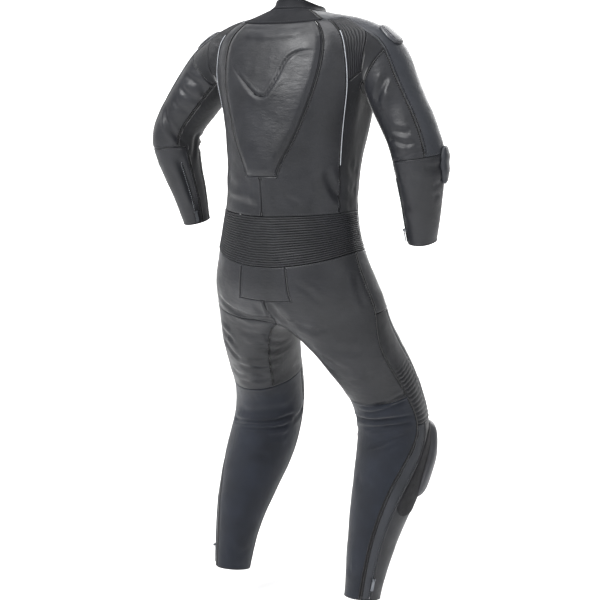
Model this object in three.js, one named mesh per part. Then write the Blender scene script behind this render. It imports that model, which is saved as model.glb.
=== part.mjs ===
// A one-piece motorcycle race suit in leather, worn form with nobody in it.
// Millimetres, +Z up. The front faces -Y and the wearer's left is +X.
// The origin is the point between the shoulders, at the base of the neck, where the wearer holds it up.
import * as THREE from "three";

// Cloth and seams
const LEATHER = 1.6;
const STRETCH = 1.3;
const HALF_SEAM = 0.15;
const LIFT = 0.8;
const RIB_HEIGHT = 2.2;
const PROTECTOR_RISE = 4;

// The cage: columns run round a tube, rows run down it
const HALF = 12;
const AROUND = 16;
const RIGHT = -1;
const LEFT = 1;

// Rows of a table as records, by the names of its columns
const table = (names, rows) =>
  rows.map((row) => Object.fromEntries(names.split(" ").map((name, k) => [name, row[k]])));

// Torso rows from the collar down. back, side and front are heights; y is the middle of the ring.
// vee, piping and edge are the angles, from the back centre, of the protector edge, the piped seam and
// the armhole.
const TORSO = table("row back side front y wide deepBack deepFront vee piping edge", [
  ["collar top", 64, 45, 6, 0, 54, 52, 56, 28, 56, 72],
  ["neck seam", 42, 31, -14, 0, 60, 57, 62, 28, 56, 72],
  ["shoulder", 6, 21, -52, 0, 146, 102, 88, 40, 50, 72],
  ["armhole top", -42, 5, -92, 2, 188, 120, 102, 41, 50, 72],
  ["shoulder blade", -85, -42, -126, 4, 192, 130, 112, 40, 55, 72],
  ["upper chest", -122, -80, -158, 5, 190, 138, 118, 38, 60, 72],
  ["lower chest", -158, -114, -188, 6, 186, 144, 121, 35, 64, 72],
  ["armpit", -196, -146, -216, 6, 178, 147, 122, 31, 67, 74],
  ["ribs", -264, -240, -280, 10, 162, 150, 116, 21, 72, 80],
  ["protector tip", -320, -324, -338, 26, 158, 137, 108, 4, 78, 84],
  ["lumbar top", -406, -398, -400, 41, 162, 110, 104, 8, 79, 85],
  ["lumbar bottom", -532, -488, -492, 40, 176, 114, 116, 14, 62, 78],
  ["coccyx", -604, -566, -584, 19, 203, 136, 132, 13, 54, 74],
  ["leg split", -650, -622, -628, -2, 216, 106, 98, 20, 52, 72],
]);
const NECK_SEAM = 1;
const SHOULDER = 2;
const ARMHOLE_TOP = 3;
const LOWER_CHEST = 6;
const ARMPIT = 7;
const TIP = 9;
const LUMBAR_TOP = 10;
const LUMBAR_BOTTOM = 11;
const COCCYX = 12;
const LEG_SPLIT = 13;
const SQUARE = 0.86;

// The armhole, on the wearer's left
const ARMHOLE = { top: [204, 0, 3], pit: [180, 2, -130], deep: 66, bulge: 16 };

// Sleeve rings. lean turns the ring's outer side up, tip turns its back down.
// The left arm is held wider than the right one, so each has its own table.
const RING_COLUMNS = "row x y z lean tip out deep";
const SLEEVES = {
  right: table(RING_COLUMNS, [
    ["deltoid", 222, 2, -88, 54, 0, 66, 70],
    ["upper arm", 239, 4, -134, 42, 0, 61, 66],
    ["biceps", 266, 6, -182, 32, 0, 57, 61],
    ["above elbow", 293, 8, -230, 22, 0, 57, 60],
    ["elbow", 310, 8, -280, 6, 6, 57, 60],
    ["forearm", 309, -4, -334, -4, 14, 51, 54],
    ["lower forearm", 303, -20, -400, -4, 16, 41, 44],
    ["cuff", 296, -36, -466, -2, 14, 31, 34],
  ]),
  left: table(RING_COLUMNS, [
    ["deltoid", 235, 2, -86, 50, 0, 66, 70],
    ["upper arm", 273, 4, -128, 36, 0, 62, 68],
    ["biceps", 315, 6, -176, 30, 0, 59, 63],
    ["above elbow", 350, 8, -222, 14, 0, 58, 61],
    ["elbow", 361, 6, -264, -4, 6, 55, 60],
    ["forearm", 350, -6, -320, -10, 14, 46, 50],
    ["lower forearm", 334, -20, -388, -8, 16, 38, 41],
    ["cuff", 328, -34, -450, -4, 14, 30, 33],
  ]),
};
const ELBOW_ROW = 5;
const CUFF_ROW = SLEEVES.right.length;

// Leg rings. tilt turns the ring's back up. seam and strip are the angles, from the back round the outer
// side, where the grey strip starts and how wide it is.
const LEG = table("row x y z tilt wide back front seam strip", [
  ["upper thigh", 124, -16, -684, -20, 94, 102, 104, 72, 18],
  ["thigh", 145, -56, -748, -27, 86, 92, 100, 72, 18],
  ["above knee", 164, -98, -812, -22, 80, 84, 94, 74, 16],
  ["knee", 176, -128, -896, -4, 84, 78, 90, 78, 14],
  ["below knee", 182, -116, -968, 14, 85, 86, 84, 58, 20],
  ["calf", 187, -83, -1040, 23, 79, 86, 75, 39, 20],
  ["lower calf", 188, -36, -1112, 25, 65, 70, 61, 30, 22],
  ["shin", 187, 0, -1188, 20, 51, 54, 49, 24, 26],
  ["hem", 184, 23, -1280, 10, 41, 44, 42, 22, 32],
]);
const ABOVE_KNEE = 3;
const KNEE = 4;
const HEM = LEG.length;
// Crotch points between the front centre and the back centre
const CROTCH = [
  { y: -48, z: -634 },
  { y: 4, z: -646 },
  { y: 58, z: -654 },
];
// Where leg columns stand round a leg: the strip's first column, the front centre and the back centre
const STRIP_COLUMN = 6;
const LEG_FRONT_ANGLE = 225;
const LEG_BACK_ANGLE = -45;

// A smoothed tube is smaller than its cage by these shares, so the cage is made larger
const TORSO_GROWTH = 1.012;
const TUBE_GROWTH = 1.03;

// The largest folds. from and to are places on the cage: part, side, column, row.
const FOLDS = [
  { part: "leg", from: [1, 1.2], to: [6, 1.0], width: 26, depth: -5 },
  { part: "leg", from: [0, 1.9], to: [5, 1.6], width: 24, depth: -5 },
  { part: "leg", from: [-1, 3.7], to: [6, 3.9], width: 24, depth: -7 },
  { part: "leg", from: [-1, 4.2], to: [6, 4.3], width: 24, depth: -8 },
  { part: "leg", from: [0, 4.8], to: [6, 4.6], width: 26, depth: -6 },
  { part: "sleeve", from: [1, 3.2], to: [6, 2.6], width: 24, depth: -4 },
  { part: "sleeve", from: [0, 4.7], to: [7, 4.5], width: 24, depth: -5 },
  { part: "sleeve", from: [8, 4.2], to: [12, 4.6], width: 26, depth: -6 },
  { part: "sleeve", from: [8, 5.2], to: [12, 5.1], width: 24, depth: -5 },
];

const radians = THREE.MathUtils.degToRad;
const lerp = THREE.MathUtils.lerp;
const power = (value, exponent) => Math.sign(value) * Math.abs(value) ** exponent;

// The angle of a torso column from the back centre, for columns 0 to HALF
function columnAngle(row, column) {
  const front = 180 - row.edge;
  const angles = [
    0,
    row.vee / 2,
    row.vee,
    (row.vee + row.piping) / 2,
    row.piping,
    row.edge,
    (row.edge + 90) / 2,
    90,
    (front + 90) / 2,
    front,
    lerp(front, 180, 0.36),
    lerp(front, 180, 0.7),
    180,
  ];
  return radians(angles[column]);
}

function torsoPoint(row, column, side) {
  const angle = columnAngle(row, column);
  const cosine = power(Math.cos(angle), SQUARE);
  const end = cosine > 0 ? row.back : row.front;
  return new THREE.Vector3(
    side * row.wide * TORSO_GROWTH * power(Math.sin(angle), SQUARE),
    row.y + (cosine > 0 ? row.deepBack : row.deepFront) * TORSO_GROWTH * cosine,
    lerp(row.side, end, cosine * cosine),
  );
}

// The armhole loop, by sleeve column: 0 on the shoulder, 4 at the back, 8 in the armpit, 12 at the front
function armholePoint(column, side) {
  const angle = radians((360 * column) / AROUND);
  const [top, pit] = [ARMHOLE.top, ARMHOLE.pit].map((p) => new THREE.Vector3(...p));
  const point = top.clone().add(pit).multiplyScalar(0.5);
  point.addScaledVector(top.sub(pit).multiplyScalar(0.5), power(Math.cos(angle), 0.9) * TUBE_GROWTH);
  point.y += ARMHOLE.deep * TUBE_GROWTH * power(Math.sin(angle), 0.9);
  point.x += ARMHOLE.bulge * Math.max(0, Math.sin(angle));
  point.x *= side;
  return point;
}

function sleevePoint(row, column, side) {
  if (row === 0) return armholePoint(column, side);
  const ring = SLEEVES[side === RIGHT ? "right" : "left"][row - 1];
  const angle = radians((360 * column) / AROUND);
  const [lean, tip] = [radians(ring.lean), radians(ring.tip)];
  const out = ring.out * TUBE_GROWTH * Math.cos(angle);
  const deep = ring.deep * TUBE_GROWTH * Math.sin(angle);
  return new THREE.Vector3(
    side * (ring.x + out * Math.cos(lean)),
    ring.y + deep * Math.cos(tip),
    ring.z + out * Math.sin(lean) - deep * Math.sin(tip),
  );
}

function legAngle({ seam, strip }, column) {
  if (column <= STRIP_COLUMN) return lerp(LEG_BACK_ANGLE, seam, column / STRIP_COLUMN);
  if (column <= HALF)
    return lerp(seam + strip, LEG_FRONT_ANGLE, (column - STRIP_COLUMN - 1) / (HALF - STRIP_COLUMN - 1));
  return lerp(LEG_FRONT_ANGLE, 360 + LEG_BACK_ANGLE, (column - HALF) / (AROUND - HALF));
}

function legPoint(row, column, side) {
  if (row === 0 && column <= HALF) return torsoPoint(TORSO[LEG_SPLIT], column, side);
  if (row === 0) return new THREE.Vector3(0, CROTCH[column - HALF - 1].y, CROTCH[column - HALF - 1].z);
  const ring = LEG[row - 1];
  const angle = radians(legAngle(ring, column));
  const deep = (Math.cos(angle) > 0 ? ring.back : ring.front) * TUBE_GROWTH * Math.cos(angle);
  return new THREE.Vector3(
    side * (ring.x + ring.wide * TUBE_GROWTH * Math.sin(angle)),
    ring.y + deep * Math.cos(radians(ring.tilt)),
    ring.z + deep * Math.sin(radians(ring.tilt)),
  );
}

// Which panel a cage face belongs to. column counts faces from the back centre on both sides.
function torsoPanel(row, column, side) {
  if (row < NECK_SEAM) return "collar";
  if (row < SHOULDER) {
    if (column < 3) return "nape_yoke";
    return (column < 9 ? "shoulder_panel_" : "front_") + side;
  }
  if (row < ARMHOLE_TOP && column >= 5 && column < 9) return "shoulder_panel_" + side;
  if (column >= 9) return "front_" + side;
  if (row < TIP && column < 2) return "back_centre";
  if (row < LUMBAR_TOP) {
    if (column < 4) return "back_side_" + side;
    return (row < LOWER_CHEST && column === 4 ? "shoulder_accordion_" : "side_stretch_") + side;
  }
  if (row < LUMBAR_BOTTOM) return column < 9 ? "lumbar_accordion" : "side_stretch_" + side;
  if (row < COCCYX && column < 2) return "coccyx_patch";
  return (column < 6 ? "seat_" : "front_") + side;
}

function sleevePanel(row, column, side) {
  if (row < 1 && column >= 2 && column < 6) return "side_stretch_" + side;
  if (row >= ELBOW_ROW && (column < 7 || column > 8)) return "forearm_" + side;
  if (column < 2 || column >= 14) return "shoulder_panel_" + side;
  if (column < 6) return "sleeve_back_" + side;
  return (column < 10 ? "sleeve_inner_" : "sleeve_front_") + side;
}

function legPanel(row, column, side) {
  if (column >= 12 && row < ABOVE_KNEE) return "inner_leg_" + side;
  if (row < ABOVE_KNEE) {
    if (column < 6) return "thigh_back_" + side;
    return (column < 8 ? "thigh_side_" : "thigh_front_") + side;
  }
  if (column < 6 || column >= 13) return "calf_back_" + side;
  if (row < KNEE) return (column < 8 ? "thigh_side_" : "knee_accordion_") + side;
  return (column < 7 ? "calf_strip_" : "shin_") + side;
}

// The cage: points, and faces of four corners with their panel and their place on the tube
function makeCage() {
  const points = [];
  const index = new Map();
  const faces = [];
  const corner = (key, make) => {
    if (!index.has(key)) {
      index.set(key, points.length);
      points.push(make());
    }
    return index.get(key);
  };
  const armhole = (row, column) => {
    if (row === ARMHOLE_TOP) return (7 - column + AROUND) % AROUND;
    if (row === ARMPIT) return column + 1;
    return column === 5 ? row - 1 : 17 - row;
  };
  const torsoCorner = (row, turn) => {
    const side = turn % (2 * HALF) <= HALF ? RIGHT : LEFT;
    const column = side === RIGHT ? turn % (2 * HALF) : 2 * HALF - turn;
    const onHole = row >= ARMHOLE_TOP && row <= ARMPIT && column >= 5 && column <= 9;
    if (onHole) return sleeveCorner(0, armhole(row, column), side);
    return corner(`torso ${row} ${turn % (2 * HALF)}`, () => torsoPoint(TORSO[row], column, side));
  };
  const sleeveCorner = (row, column, side) =>
    corner(`sleeve ${side} ${row} ${column % AROUND}`, () => sleevePoint(row, column % AROUND, side));
  const legCorner = (row, column, side) => {
    const round = column % AROUND;
    if (row > 0) return corner(`leg ${side} ${row} ${round}`, () => legPoint(row, round, side));
    if (round > HALF) return corner(`crotch ${round}`, () => legPoint(0, round, side));
    return torsoCorner(LEG_SPLIT, side === RIGHT ? round : (2 * HALF - round) % (2 * HALF));
  };
  const add = (corners, places, face) => {
    if (face.flip) {
      corners.reverse();
      places.reverse();
    }
    faces.push({ corners, places, panel: face.panel, part: face.part, side: face.side });
  };
  const square = (row, column) => [
    [column, row],
    [column, row + 1],
    [column + 1, row + 1],
    [column + 1, row],
  ];

  for (let row = 0; row < LEG_SPLIT; row++)
    for (let turn = 0; turn < 2 * HALF; turn++) {
      const side = turn < HALF ? RIGHT : LEFT;
      const column = side === RIGHT ? turn : 2 * HALF - 1 - turn;
      if (row >= ARMHOLE_TOP && row < ARMPIT && column >= 5 && column < 9) continue;
      const name = side === RIGHT ? "right" : "left";
      const places = square(row, turn).map(([c, r]) => [side === RIGHT ? c : 2 * HALF - c, r]);
      const corners = square(row, turn).map(([c, r]) => torsoCorner(r, c));
      add(corners, places, { panel: torsoPanel(row, column, name), part: "torso", side });
    }
  for (const side of [RIGHT, LEFT]) {
    const name = side === RIGHT ? "right" : "left";
    for (let column = 0; column < AROUND; column++) {
      for (let row = 0; row < CUFF_ROW; row++) {
        const corners = square(row, column).map(([c, r]) => sleeveCorner(r, c, side));
        const panel = sleevePanel(row, column, name);
        add(corners, square(row, column), { panel, part: "sleeve", side, flip: side === RIGHT });
      }
      for (let row = 0; row < HEM; row++) {
        const corners = square(row, column).map(([c, r]) => legCorner(r, c, side));
        const panel = legPanel(row, column, name);
        add(corners, square(row, column), { panel, part: "leg", side, flip: side === LEFT });
      }
    }
  }
  return { points, faces };
}

// One Catmull-Clark step: every face becomes four, and the points move to the smooth surface
function subdivide({ points, faces }) {
  const edges = new Map();
  const edgeOf = (a, b) => {
    const key = a < b ? `${a},${b}` : `${b},${a}`;
    if (!edges.has(key)) edges.set(key, { ends: [a, b], faces: [] });
    return edges.get(key);
  };
  const centres = faces.map((face) => {
    const centre = new THREE.Vector3();
    face.corners.forEach((c) => centre.addScaledVector(points[c], 1 / face.corners.length));
    return centre;
  });
  faces.forEach((face, f) =>
    face.corners.forEach((c, k) => edgeOf(c, face.corners[(k + 1) % 4]).faces.push(f)),
  );
  const near = points.map(() => ({ faces: [], middles: [], rim: [] }));
  for (const edge of edges.values()) {
    const [a, b] = edge.ends;
    edge.middle = points[a].clone().add(points[b]).multiplyScalar(0.5);
    near[a].middles.push(edge.middle);
    near[b].middles.push(edge.middle);
    if (edge.faces.length === 1) {
      near[a].rim.push(points[b]);
      near[b].rim.push(points[a]);
    }
  }
  faces.forEach((face, f) => face.corners.forEach((c) => near[c].faces.push(centres[f])));
  const sum = (list) => list.reduce((total, p) => total.add(p), new THREE.Vector3());
  const moved = points.map((p, i) => {
    if (near[i].rim.length) return p.clone().multiplyScalar(6).add(sum(near[i].rim)).divideScalar(8);
    const n = near[i].faces.length;
    const centre = sum(near[i].faces).divideScalar(n);
    const middle = sum(near[i].middles).divideScalar(n);
    return p.clone().multiplyScalar(n - 3).addScaledVector(middle, 2).add(centre).divideScalar(n);
  });
  const offset = moved.length;
  const centreIndex = centres.map((_, f) => offset + f);
  const all = moved.concat(centres);
  for (const edge of edges.values()) {
    edge.index = all.length;
    const inner = edge.faces.map((f) => centres[f]);
    const point = edge.middle.clone();
    if (inner.length === 2) point.add(sum(inner).multiplyScalar(0.5)).multiplyScalar(0.5);
    all.push(point);
  }
  const finer = faces.map((face, f) => ({
    ...face,
    middles: face.corners.map((c, k) => edgeOf(c, face.corners[(k + 1) % 4]).index),
    centre: centreIndex[f],
  }));
  return { points: all, faces: quarters(finer), whole: finer };
}

const between = (a, b) => [(a[0] + b[0]) / 2, (a[1] + b[1]) / 2];

// The four small faces of each subdivided one
function quarters(whole) {
  return whole.flatMap((face) => {
    const { corners, middles, centre, places } = face;
    const middlePlace = between(between(places[0], places[1]), between(places[2], places[3]));
    return corners.map((corner, k) => {
      const [before, after] = [(k + 3) % 4, (k + 1) % 4];
      return {
        ...face,
        corners: [corner, middles[k], centre, middles[before]],
        places: [
          places[k],
          between(places[k], places[after]),
          middlePlace,
          between(places[before], places[k]),
        ],
      };
    });
  });
}

// Where the cloth is plain, a small face is left whole along its columns or its rows
function keepsMiddle(face, k) {
  const [a, b] = [face.places[k], face.places[(k + 1) % 4]];
  const row = Math.min(a[1], b[1]);
  const acrossColumns = a[1] === b[1];
  if (face.part === "torso") {
    const column = Math.min(a[0], b[0], 2 * HALF - a[0], 2 * HALF - b[0]);
    if (row === LUMBAR_TOP || row === LUMBAR_BOTTOM) return !acrossColumns;
    if (acrossColumns) return column < 9 || row < ARMHOLE_TOP || row === LEG_SPLIT;
    return row < ARMHOLE_TOP || row >= ARMPIT || (column > 3 && column < 10);
  }
  if (acrossColumns) return row < 2;
  return face.part === "leg" || row > 0;
}

// A subdivided face as few polygons: four, two or one, or a fan where it joins a finer neighbour
function coarsen(face) {
  const { corners, middles, centre } = face;
  const kept = [0, 1, 2, 3].map((k) => keepsMiddle(face, k));
  if (kept.every(Boolean)) return corners.map((c, k) => [c, middles[k], centre, middles[(k + 3) % 4]]);
  if (!kept.some(Boolean)) return [corners];
  if (kept[0] === kept[2] && kept[1] === kept[3]) {
    const k = kept[0] ? 0 : 1;
    const [a, b, c, d] = [0, 1, 2, 3].map((step) => corners[(k + step) % 4]);
    return [
      [a, middles[k], middles[(k + 2) % 4], d],
      [middles[k], b, c, middles[(k + 2) % 4]],
    ];
  }
  const loop = corners.flatMap((c, k) => (kept[k] ? [c, middles[k]] : [c]));
  return loop.map((point, k) => [centre, point, loop[(k + 1) % loop.length]]);
}

function vertexNormals({ points, faces }) {
  const normals = points.map(() => new THREE.Vector3());
  for (const { corners } of faces) {
    const [a, b, c, d] = corners.map((i) => points[i]);
    const normal = c.clone().sub(a).cross(d.clone().sub(b));
    corners.forEach((i) => normals[i].add(normal));
  }
  return normals.map((n) => n.normalize());
}

// A point of the smoothed surface by its place on the cage
function placeFinder({ points, faces }, normals) {
  const cells = new Map();
  for (const face of faces) {
    const low = [0, 1].map((k) => Math.min(...face.places.map((p) => p[k])));
    cells.set(`${face.part} ${face.side} ${low[0] * 2} ${low[1] * 2}`, { face, low });
  }
  return (part, side, column, row) => {
    const turn = part === "torso" ? column : (column + AROUND) % AROUND;
    const cellColumn = part === "torso" ? Math.min(Math.floor(turn * 2), 2 * HALF - 1) : Math.floor(turn * 2);
    const cell = cells.get(`${part} ${side} ${cellColumn} ${Math.floor(row * 2)}`);
    if (!cell) throw new Error(`no cloth at ${part} ${column} ${row}`);
    const [u, v] = [(turn - cell.low[0]) * 2, (row - cell.low[1]) * 2];
    const point = new THREE.Vector3();
    const normal = new THREE.Vector3();
    cell.face.corners.forEach((c, k) => {
      const place = cell.face.places[k];
      const share = (place[0] > cell.low[0] ? u : 1 - u) * (place[1] > cell.low[1] ? v : 1 - v);
      point.addScaledVector(points[c], share);
      normal.addScaledVector(normals[c], share);
    });
    return { point, normal: normal.normalize() };
  };
}

const smooth = subdivide(makeCage());

function pressFolds(surface) {
  const normals = vertexNormals(surface);
  const find = placeFinder(surface, normals);
  const shifts = surface.points.map(() => 0);
  for (const fold of FOLDS)
    for (const side of [RIGHT, LEFT]) {
      const steps = 8;
      const line = [];
      for (let k = 0; k <= steps; k++) {
        const share = k / steps;
        const [column, row] = [0, 1].map((axis) => lerp(fold.from[axis], fold.to[axis], share));
        line.push({ ...find(fold.part, side, column, row), fade: Math.sin(Math.PI * (0.1 + 0.8 * share)) });
      }
      surface.points.forEach((point, i) => {
        let best = { gap: Infinity };
        for (const spot of line) {
          const gap = spot.point.distanceTo(point);
          if (gap < best.gap && spot.normal.dot(normals[i]) > 0.3) best = { gap, fade: spot.fade };
        }
        if (best.gap < fold.width) {
          const bell = Math.cos((Math.PI / 2) * (best.gap / fold.width)) ** 2;
          shifts[i] += fold.depth * bell * best.fade;
        }
      });
    }
  surface.points.forEach((point, i) => point.addScaledVector(normals[i], shifts[i]));
}
pressFolds(smooth);
const normals = vertexNormals(smooth);
const findPlace = placeFinder(smooth, normals);

// A closed body from triangles
function bodyFrom(points, triangles) {
  const geometry = new THREE.BufferGeometry();
  geometry.setAttribute("position", new THREE.Float32BufferAttribute(points.flatMap((p) => p.toArray()), 3));
  geometry.setIndex(triangles.flat());
  const flat = geometry.toNonIndexed();
  flat.computeVertexNormals();
  return flat;
}

// The rim of a panel, by point: the next point round it, and the move into the panel that
// keeps two panels a seam's width apart
function panelRim(polygons) {
  const sides = new Set(polygons.flatMap((p) => p.map((c, k) => `${c},${p[(k + 1) % p.length]}`)));
  const rim = new Map();
  for (const polygon of polygons)
    polygon.forEach((a, k) => {
      const b = polygon[(k + 1) % polygon.length];
      if (sides.has(`${b},${a}`)) return;
      const along = smooth.points[b].clone().sub(smooth.points[a]);
      for (const end of [a, b]) {
        if (!rim.has(end)) rim.set(end, { inward: [] });
        rim.get(end).inward.push(normals[end].clone().cross(along).normalize());
      }
      rim.get(a).next = b;
    });
  for (const entry of rim.values()) {
    const [first, second] = [entry.inward[0], entry.inward[entry.inward.length - 1]];
    entry.inset = first.clone().add(second).multiplyScalar(HALF_SEAM / Math.max(0.4, 1 + first.dot(second)));
  }
  return rim;
}

// A panel's wall: the outer side on the surface, the inner side one thickness below it.
// Ribs are raised in the outer side alone, strips of them across each small face.
function panelWall(faces, thickness, { ribs, raise = 0 }) {
  const polygons = faces.flatMap(coarsen);
  const places = new Map(faces.flatMap(cornerPlaces));
  const rim = panelRim(polygons);
  const points = [];
  const index = new Map();
  const keep = (key, make) => {
    if (!index.has(key)) {
      index.set(key, points.length);
      points.push(make());
    }
    return index.get(key);
  };
  const surface = (i) => {
    const point = smooth.points[i].clone();
    return rim.has(i) ? point.add(rim.get(i).inset) : point.addScaledVector(normals[i], raise);
  };
  const outer = (i) => keep(`outer ${i}`, () => surface(i));
  const inner = (i) => keep(`inner ${i}`, () => surface(i).addScaledVector(normals[i], -thickness));
  const onRib = (a, b, k) => {
    if (k === 0) return outer(a);
    if (k === ribs.strips) return outer(b);
    const key = a < b ? `rib ${a} ${b} ${k}` : `rib ${b} ${a} ${ribs.strips - k}`;
    return keep(key, () => {
      const point = surface(a).lerp(surface(b), k / ribs.strips);
      const normal = normals[a].clone().lerp(normals[b], k / ribs.strips).normalize();
      return point.addScaledVector(normal, k % 2 ? RIB_HEIGHT : 0);
    });
  };
  const crossesRibs = (a, b) => ribs && places.get(a)[ribs.axis] !== places.get(b)[ribs.axis];
  const triangles = [];
  for (const polygon of polygons) {
    const under = polygon.map(inner);
    for (let k = 2; k < under.length; k++) triangles.push([under[0], under[k], under[k - 1]]);
    if (!ribs) {
      const over = polygon.map(outer);
      for (let k = 2; k < over.length; k++) triangles.push([over[0], over[k - 1], over[k]]);
      continue;
    }
    const start = crossesRibs(polygon[0], polygon[1]) ? 0 : 1;
    const [a, b, c, d] = [0, 1, 2, 3].map((k) => polygon[(start + k) % 4]);
    for (let k = 0; k < ribs.strips; k++) {
      const [p, q, r, s] = [onRib(a, b, k), onRib(a, b, k + 1), onRib(d, c, k + 1), onRib(d, c, k)];
      triangles.push([p, q, r], [p, r, s]);
    }
  }
  for (const [i, { next: j }] of rim) {
    if (crossesRibs(i, j)) {
      for (let k = 0; k < ribs.strips; k++) triangles.push([onRib(i, j, k), inner(i), onRib(i, j, k + 1)]);
      triangles.push([inner(i), inner(j), outer(j)]);
    } else if (i < j) {
      triangles.push([outer(i), inner(i), inner(j)], [outer(i), inner(j), outer(j)]);
    } else {
      triangles.push([outer(i), inner(i), outer(j)], [inner(i), inner(j), outer(j)]);
    }
  }
  return bodyFrom(points, triangles);
}

// The place of each point of a subdivided face
function cornerPlaces({ corners, middles, centre, places }) {
  const list = corners.map((c, k) => [c, places[k]]);
  middles.forEach((m, k) => list.push([m, between(places[k], places[(k + 1) % 4])]));
  list.push([centre, between(places[0], places[2])]);
  return list;
}

// The outer facets of the cloth and of the pieces on it, to lay more pieces on
const facets = smooth.whole.flatMap(coarsen).flatMap((polygon) =>
  polygon.slice(2).map((last, k) => [polygon[0], polygon[k + 1], last].map((i) => smooth.points[i])),
);
const REACH = 12;
const NEARBY = 130;
const LEAST_GAP = 0.6;

// How far a point stands over the facets under it
function clearance(point, normal) {
  const ray = new THREE.Ray(point.clone().addScaledVector(normal, REACH), normal.clone().negate());
  const hit = new THREE.Vector3();
  let depth = 2 * REACH;
  for (const [a, b, c] of facets) {
    if (a.distanceTo(point) > NEARBY || !ray.intersectTriangle(a, b, c, true, hit)) continue;
    depth = Math.min(depth, hit.distanceTo(ray.origin));
  }
  return depth < 2 * REACH ? depth - REACH : 0;
}

// A grid of spots laid on the cloth, and raised where one of its cells would cut a ridge
function layGrid(spot, columns, rows) {
  const spots = [];
  for (let v = 0; v <= rows; v++)
    for (let u = 0; u <= columns; u++) {
      const { point, normal } = spot(u / columns, v / rows);
      spots.push({ point: point.addScaledVector(normal, LIFT - clearance(point, normal)), normal });
    }
  const passes = 3;
  const shares = [0, 0.25, 0.5, 0.75, 1];
  for (let pass = 0; pass < passes; pass++)
    for (let v = 0; v < rows; v++)
      for (let u = 0; u < columns; u++) {
        const first = v * (columns + 1) + u;
        const corners = [first, first + 1, first + columns + 1, first + columns + 2].map((i) => spots[i]);
        for (const a of shares)
          for (const b of shares) {
            const weights = [(1 - a) * (1 - b), a * (1 - b), (1 - a) * b, a * b];
            const [point, normal] = [new THREE.Vector3(), new THREE.Vector3()];
            corners.forEach((corner, k) => {
              point.addScaledVector(corner.point, weights[k]);
              normal.addScaledVector(corner.normal, weights[k]);
            });
            const need = LEAST_GAP - clearance(point, normal.normalize());
            if (need > 0) corners.forEach((corner) => corner.point.addScaledVector(corner.normal, need));
          }
      }
  return spots;
}

// A piece that lies on the cloth: a grid of spots with a height over each.
// spot(u, v) and height(u, v) run from 0 to 1 across and down the piece.
function overlay(spot, columns, rows, height) {
  const spots = layGrid(spot, columns, rows);
  const points = spots.map(({ point }) => point);
  spots.forEach(({ point, normal }, i) => {
    const [u, v] = [(i % (columns + 1)) / columns, Math.floor(i / (columns + 1)) / rows];
    points.push(point.clone().addScaledVector(normal, height(u, v)));
  });
  const under = (u, v) => v * (columns + 1) + u;
  const over = (u, v) => spots.length + under(u, v);
  const triangles = [];
  const quad = (a, b, c, d) => triangles.push([a, b, c], [a, c, d]);
  for (let v = 0; v < rows; v++) {
    for (let u = 0; u < columns; u++) {
      quad(over(u, v), over(u, v + 1), over(u + 1, v + 1), over(u + 1, v));
      quad(under(u, v), under(u + 1, v), under(u + 1, v + 1), under(u, v + 1));
    }
    quad(over(0, v), under(0, v), under(0, v + 1), over(0, v + 1));
    quad(over(columns, v + 1), under(columns, v + 1), under(columns, v), over(columns, v));
  }
  for (let u = 0; u < columns; u++) {
    quad(over(u + 1, 0), under(u + 1, 0), under(u, 0), over(u, 0));
    quad(over(u, rows), under(u, rows), under(u + 1, rows), over(u + 1, rows));
  }
  const turned = outward(points, triangles);
  facets.push(...turned.map((corners) => corners.map((i) => points[i])));
  return bodyFrom(points, turned);
}

// The triangles of a closed body, turned to face out
function outward(points, triangles) {
  const wedge = ([a, b, c]) => points[a].dot(points[b].clone().cross(points[c]));
  const volume = triangles.reduce((sum, corners) => sum + wedge(corners), 0);
  return volume < 0 ? triangles.map(([a, b, c]) => [a, c, b]) : triangles;
}

// A patch of a sleeve or a leg: an outline given by its middle column, half width in columns and row, by v
function patchSpot(part, side, outline) {
  return (u, v) => {
    const at = v * (outline.length - 1);
    const low = Math.min(Math.floor(at), outline.length - 2);
    const share = at - low;
    const [middle, half, row] = ["middle", "half", "row"].map((key) =>
      lerp(outline[low][key], outline[low + 1][key], share),
    );
    return findPlace(part, side, middle + half * (2 * u - 1), row);
  };
}

const suit = new THREE.Group();
suit.name = "race_suit";

function addMesh(name, geometry, material) {
  const mesh = new THREE.Mesh(geometry, material);
  mesh.name = name;
  suit.add(mesh);
}

const finish = (color, roughness, metalness = 0) =>
  new THREE.MeshStandardMaterial({ color, roughness, metalness });
const MATERIALS = {
  leather: finish("#17181b", 0.45),
  greyLeather: finish("#44474c", 0.5),
  stretch: finish("#121214", 0.85),
  ribbed: finish("#151517", 0.7),
  textile: finish("#14171f", 0.9),
  hook: finish("#0c0c0d", 0.95),
  plastic: finish("#1b1c1e", 0.4),
  metal: finish("#6c6f73", 0.35, 1),
};

// How each panel is made: its finish, its thickness and its ribs
const RIBS_DOWN = { axis: 1, strips: 18 };
const RIBS_ACROSS = { axis: 0, strips: 10 };
function panelStyle(name) {
  if (name === "lumbar_accordion") return { material: MATERIALS.ribbed, ribs: RIBS_DOWN };
  if (name.startsWith("shoulder_accordion")) return { material: MATERIALS.ribbed, ribs: RIBS_ACROSS };
  if (name.startsWith("knee_accordion")) return { material: MATERIALS.ribbed, ribs: { axis: 1, strips: 6 } };
  if (/^(side_stretch|inner_leg|sleeve_inner)/.test(name)) return { material: MATERIALS.stretch };
  if (name.startsWith("calf_back")) return { material: MATERIALS.textile };
  const leather = { material: MATERIALS.leather, thickness: LEATHER };
  if (/^(shoulder_panel|calf_strip)/.test(name)) return { ...leather, material: MATERIALS.greyLeather };
  return name === "back_centre" ? { ...leather, raise: PROTECTOR_RISE } : leather;
}

const panels = new Map();
for (const face of smooth.whole) {
  if (!panels.has(face.panel)) panels.set(face.panel, []);
  panels.get(face.panel).push(face);
}
for (const [name, faces] of panels) {
  const { material, thickness = STRETCH, ...relief } = panelStyle(name);
  addMesh(name, panelWall(faces, thickness, relief), material);
}

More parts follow.
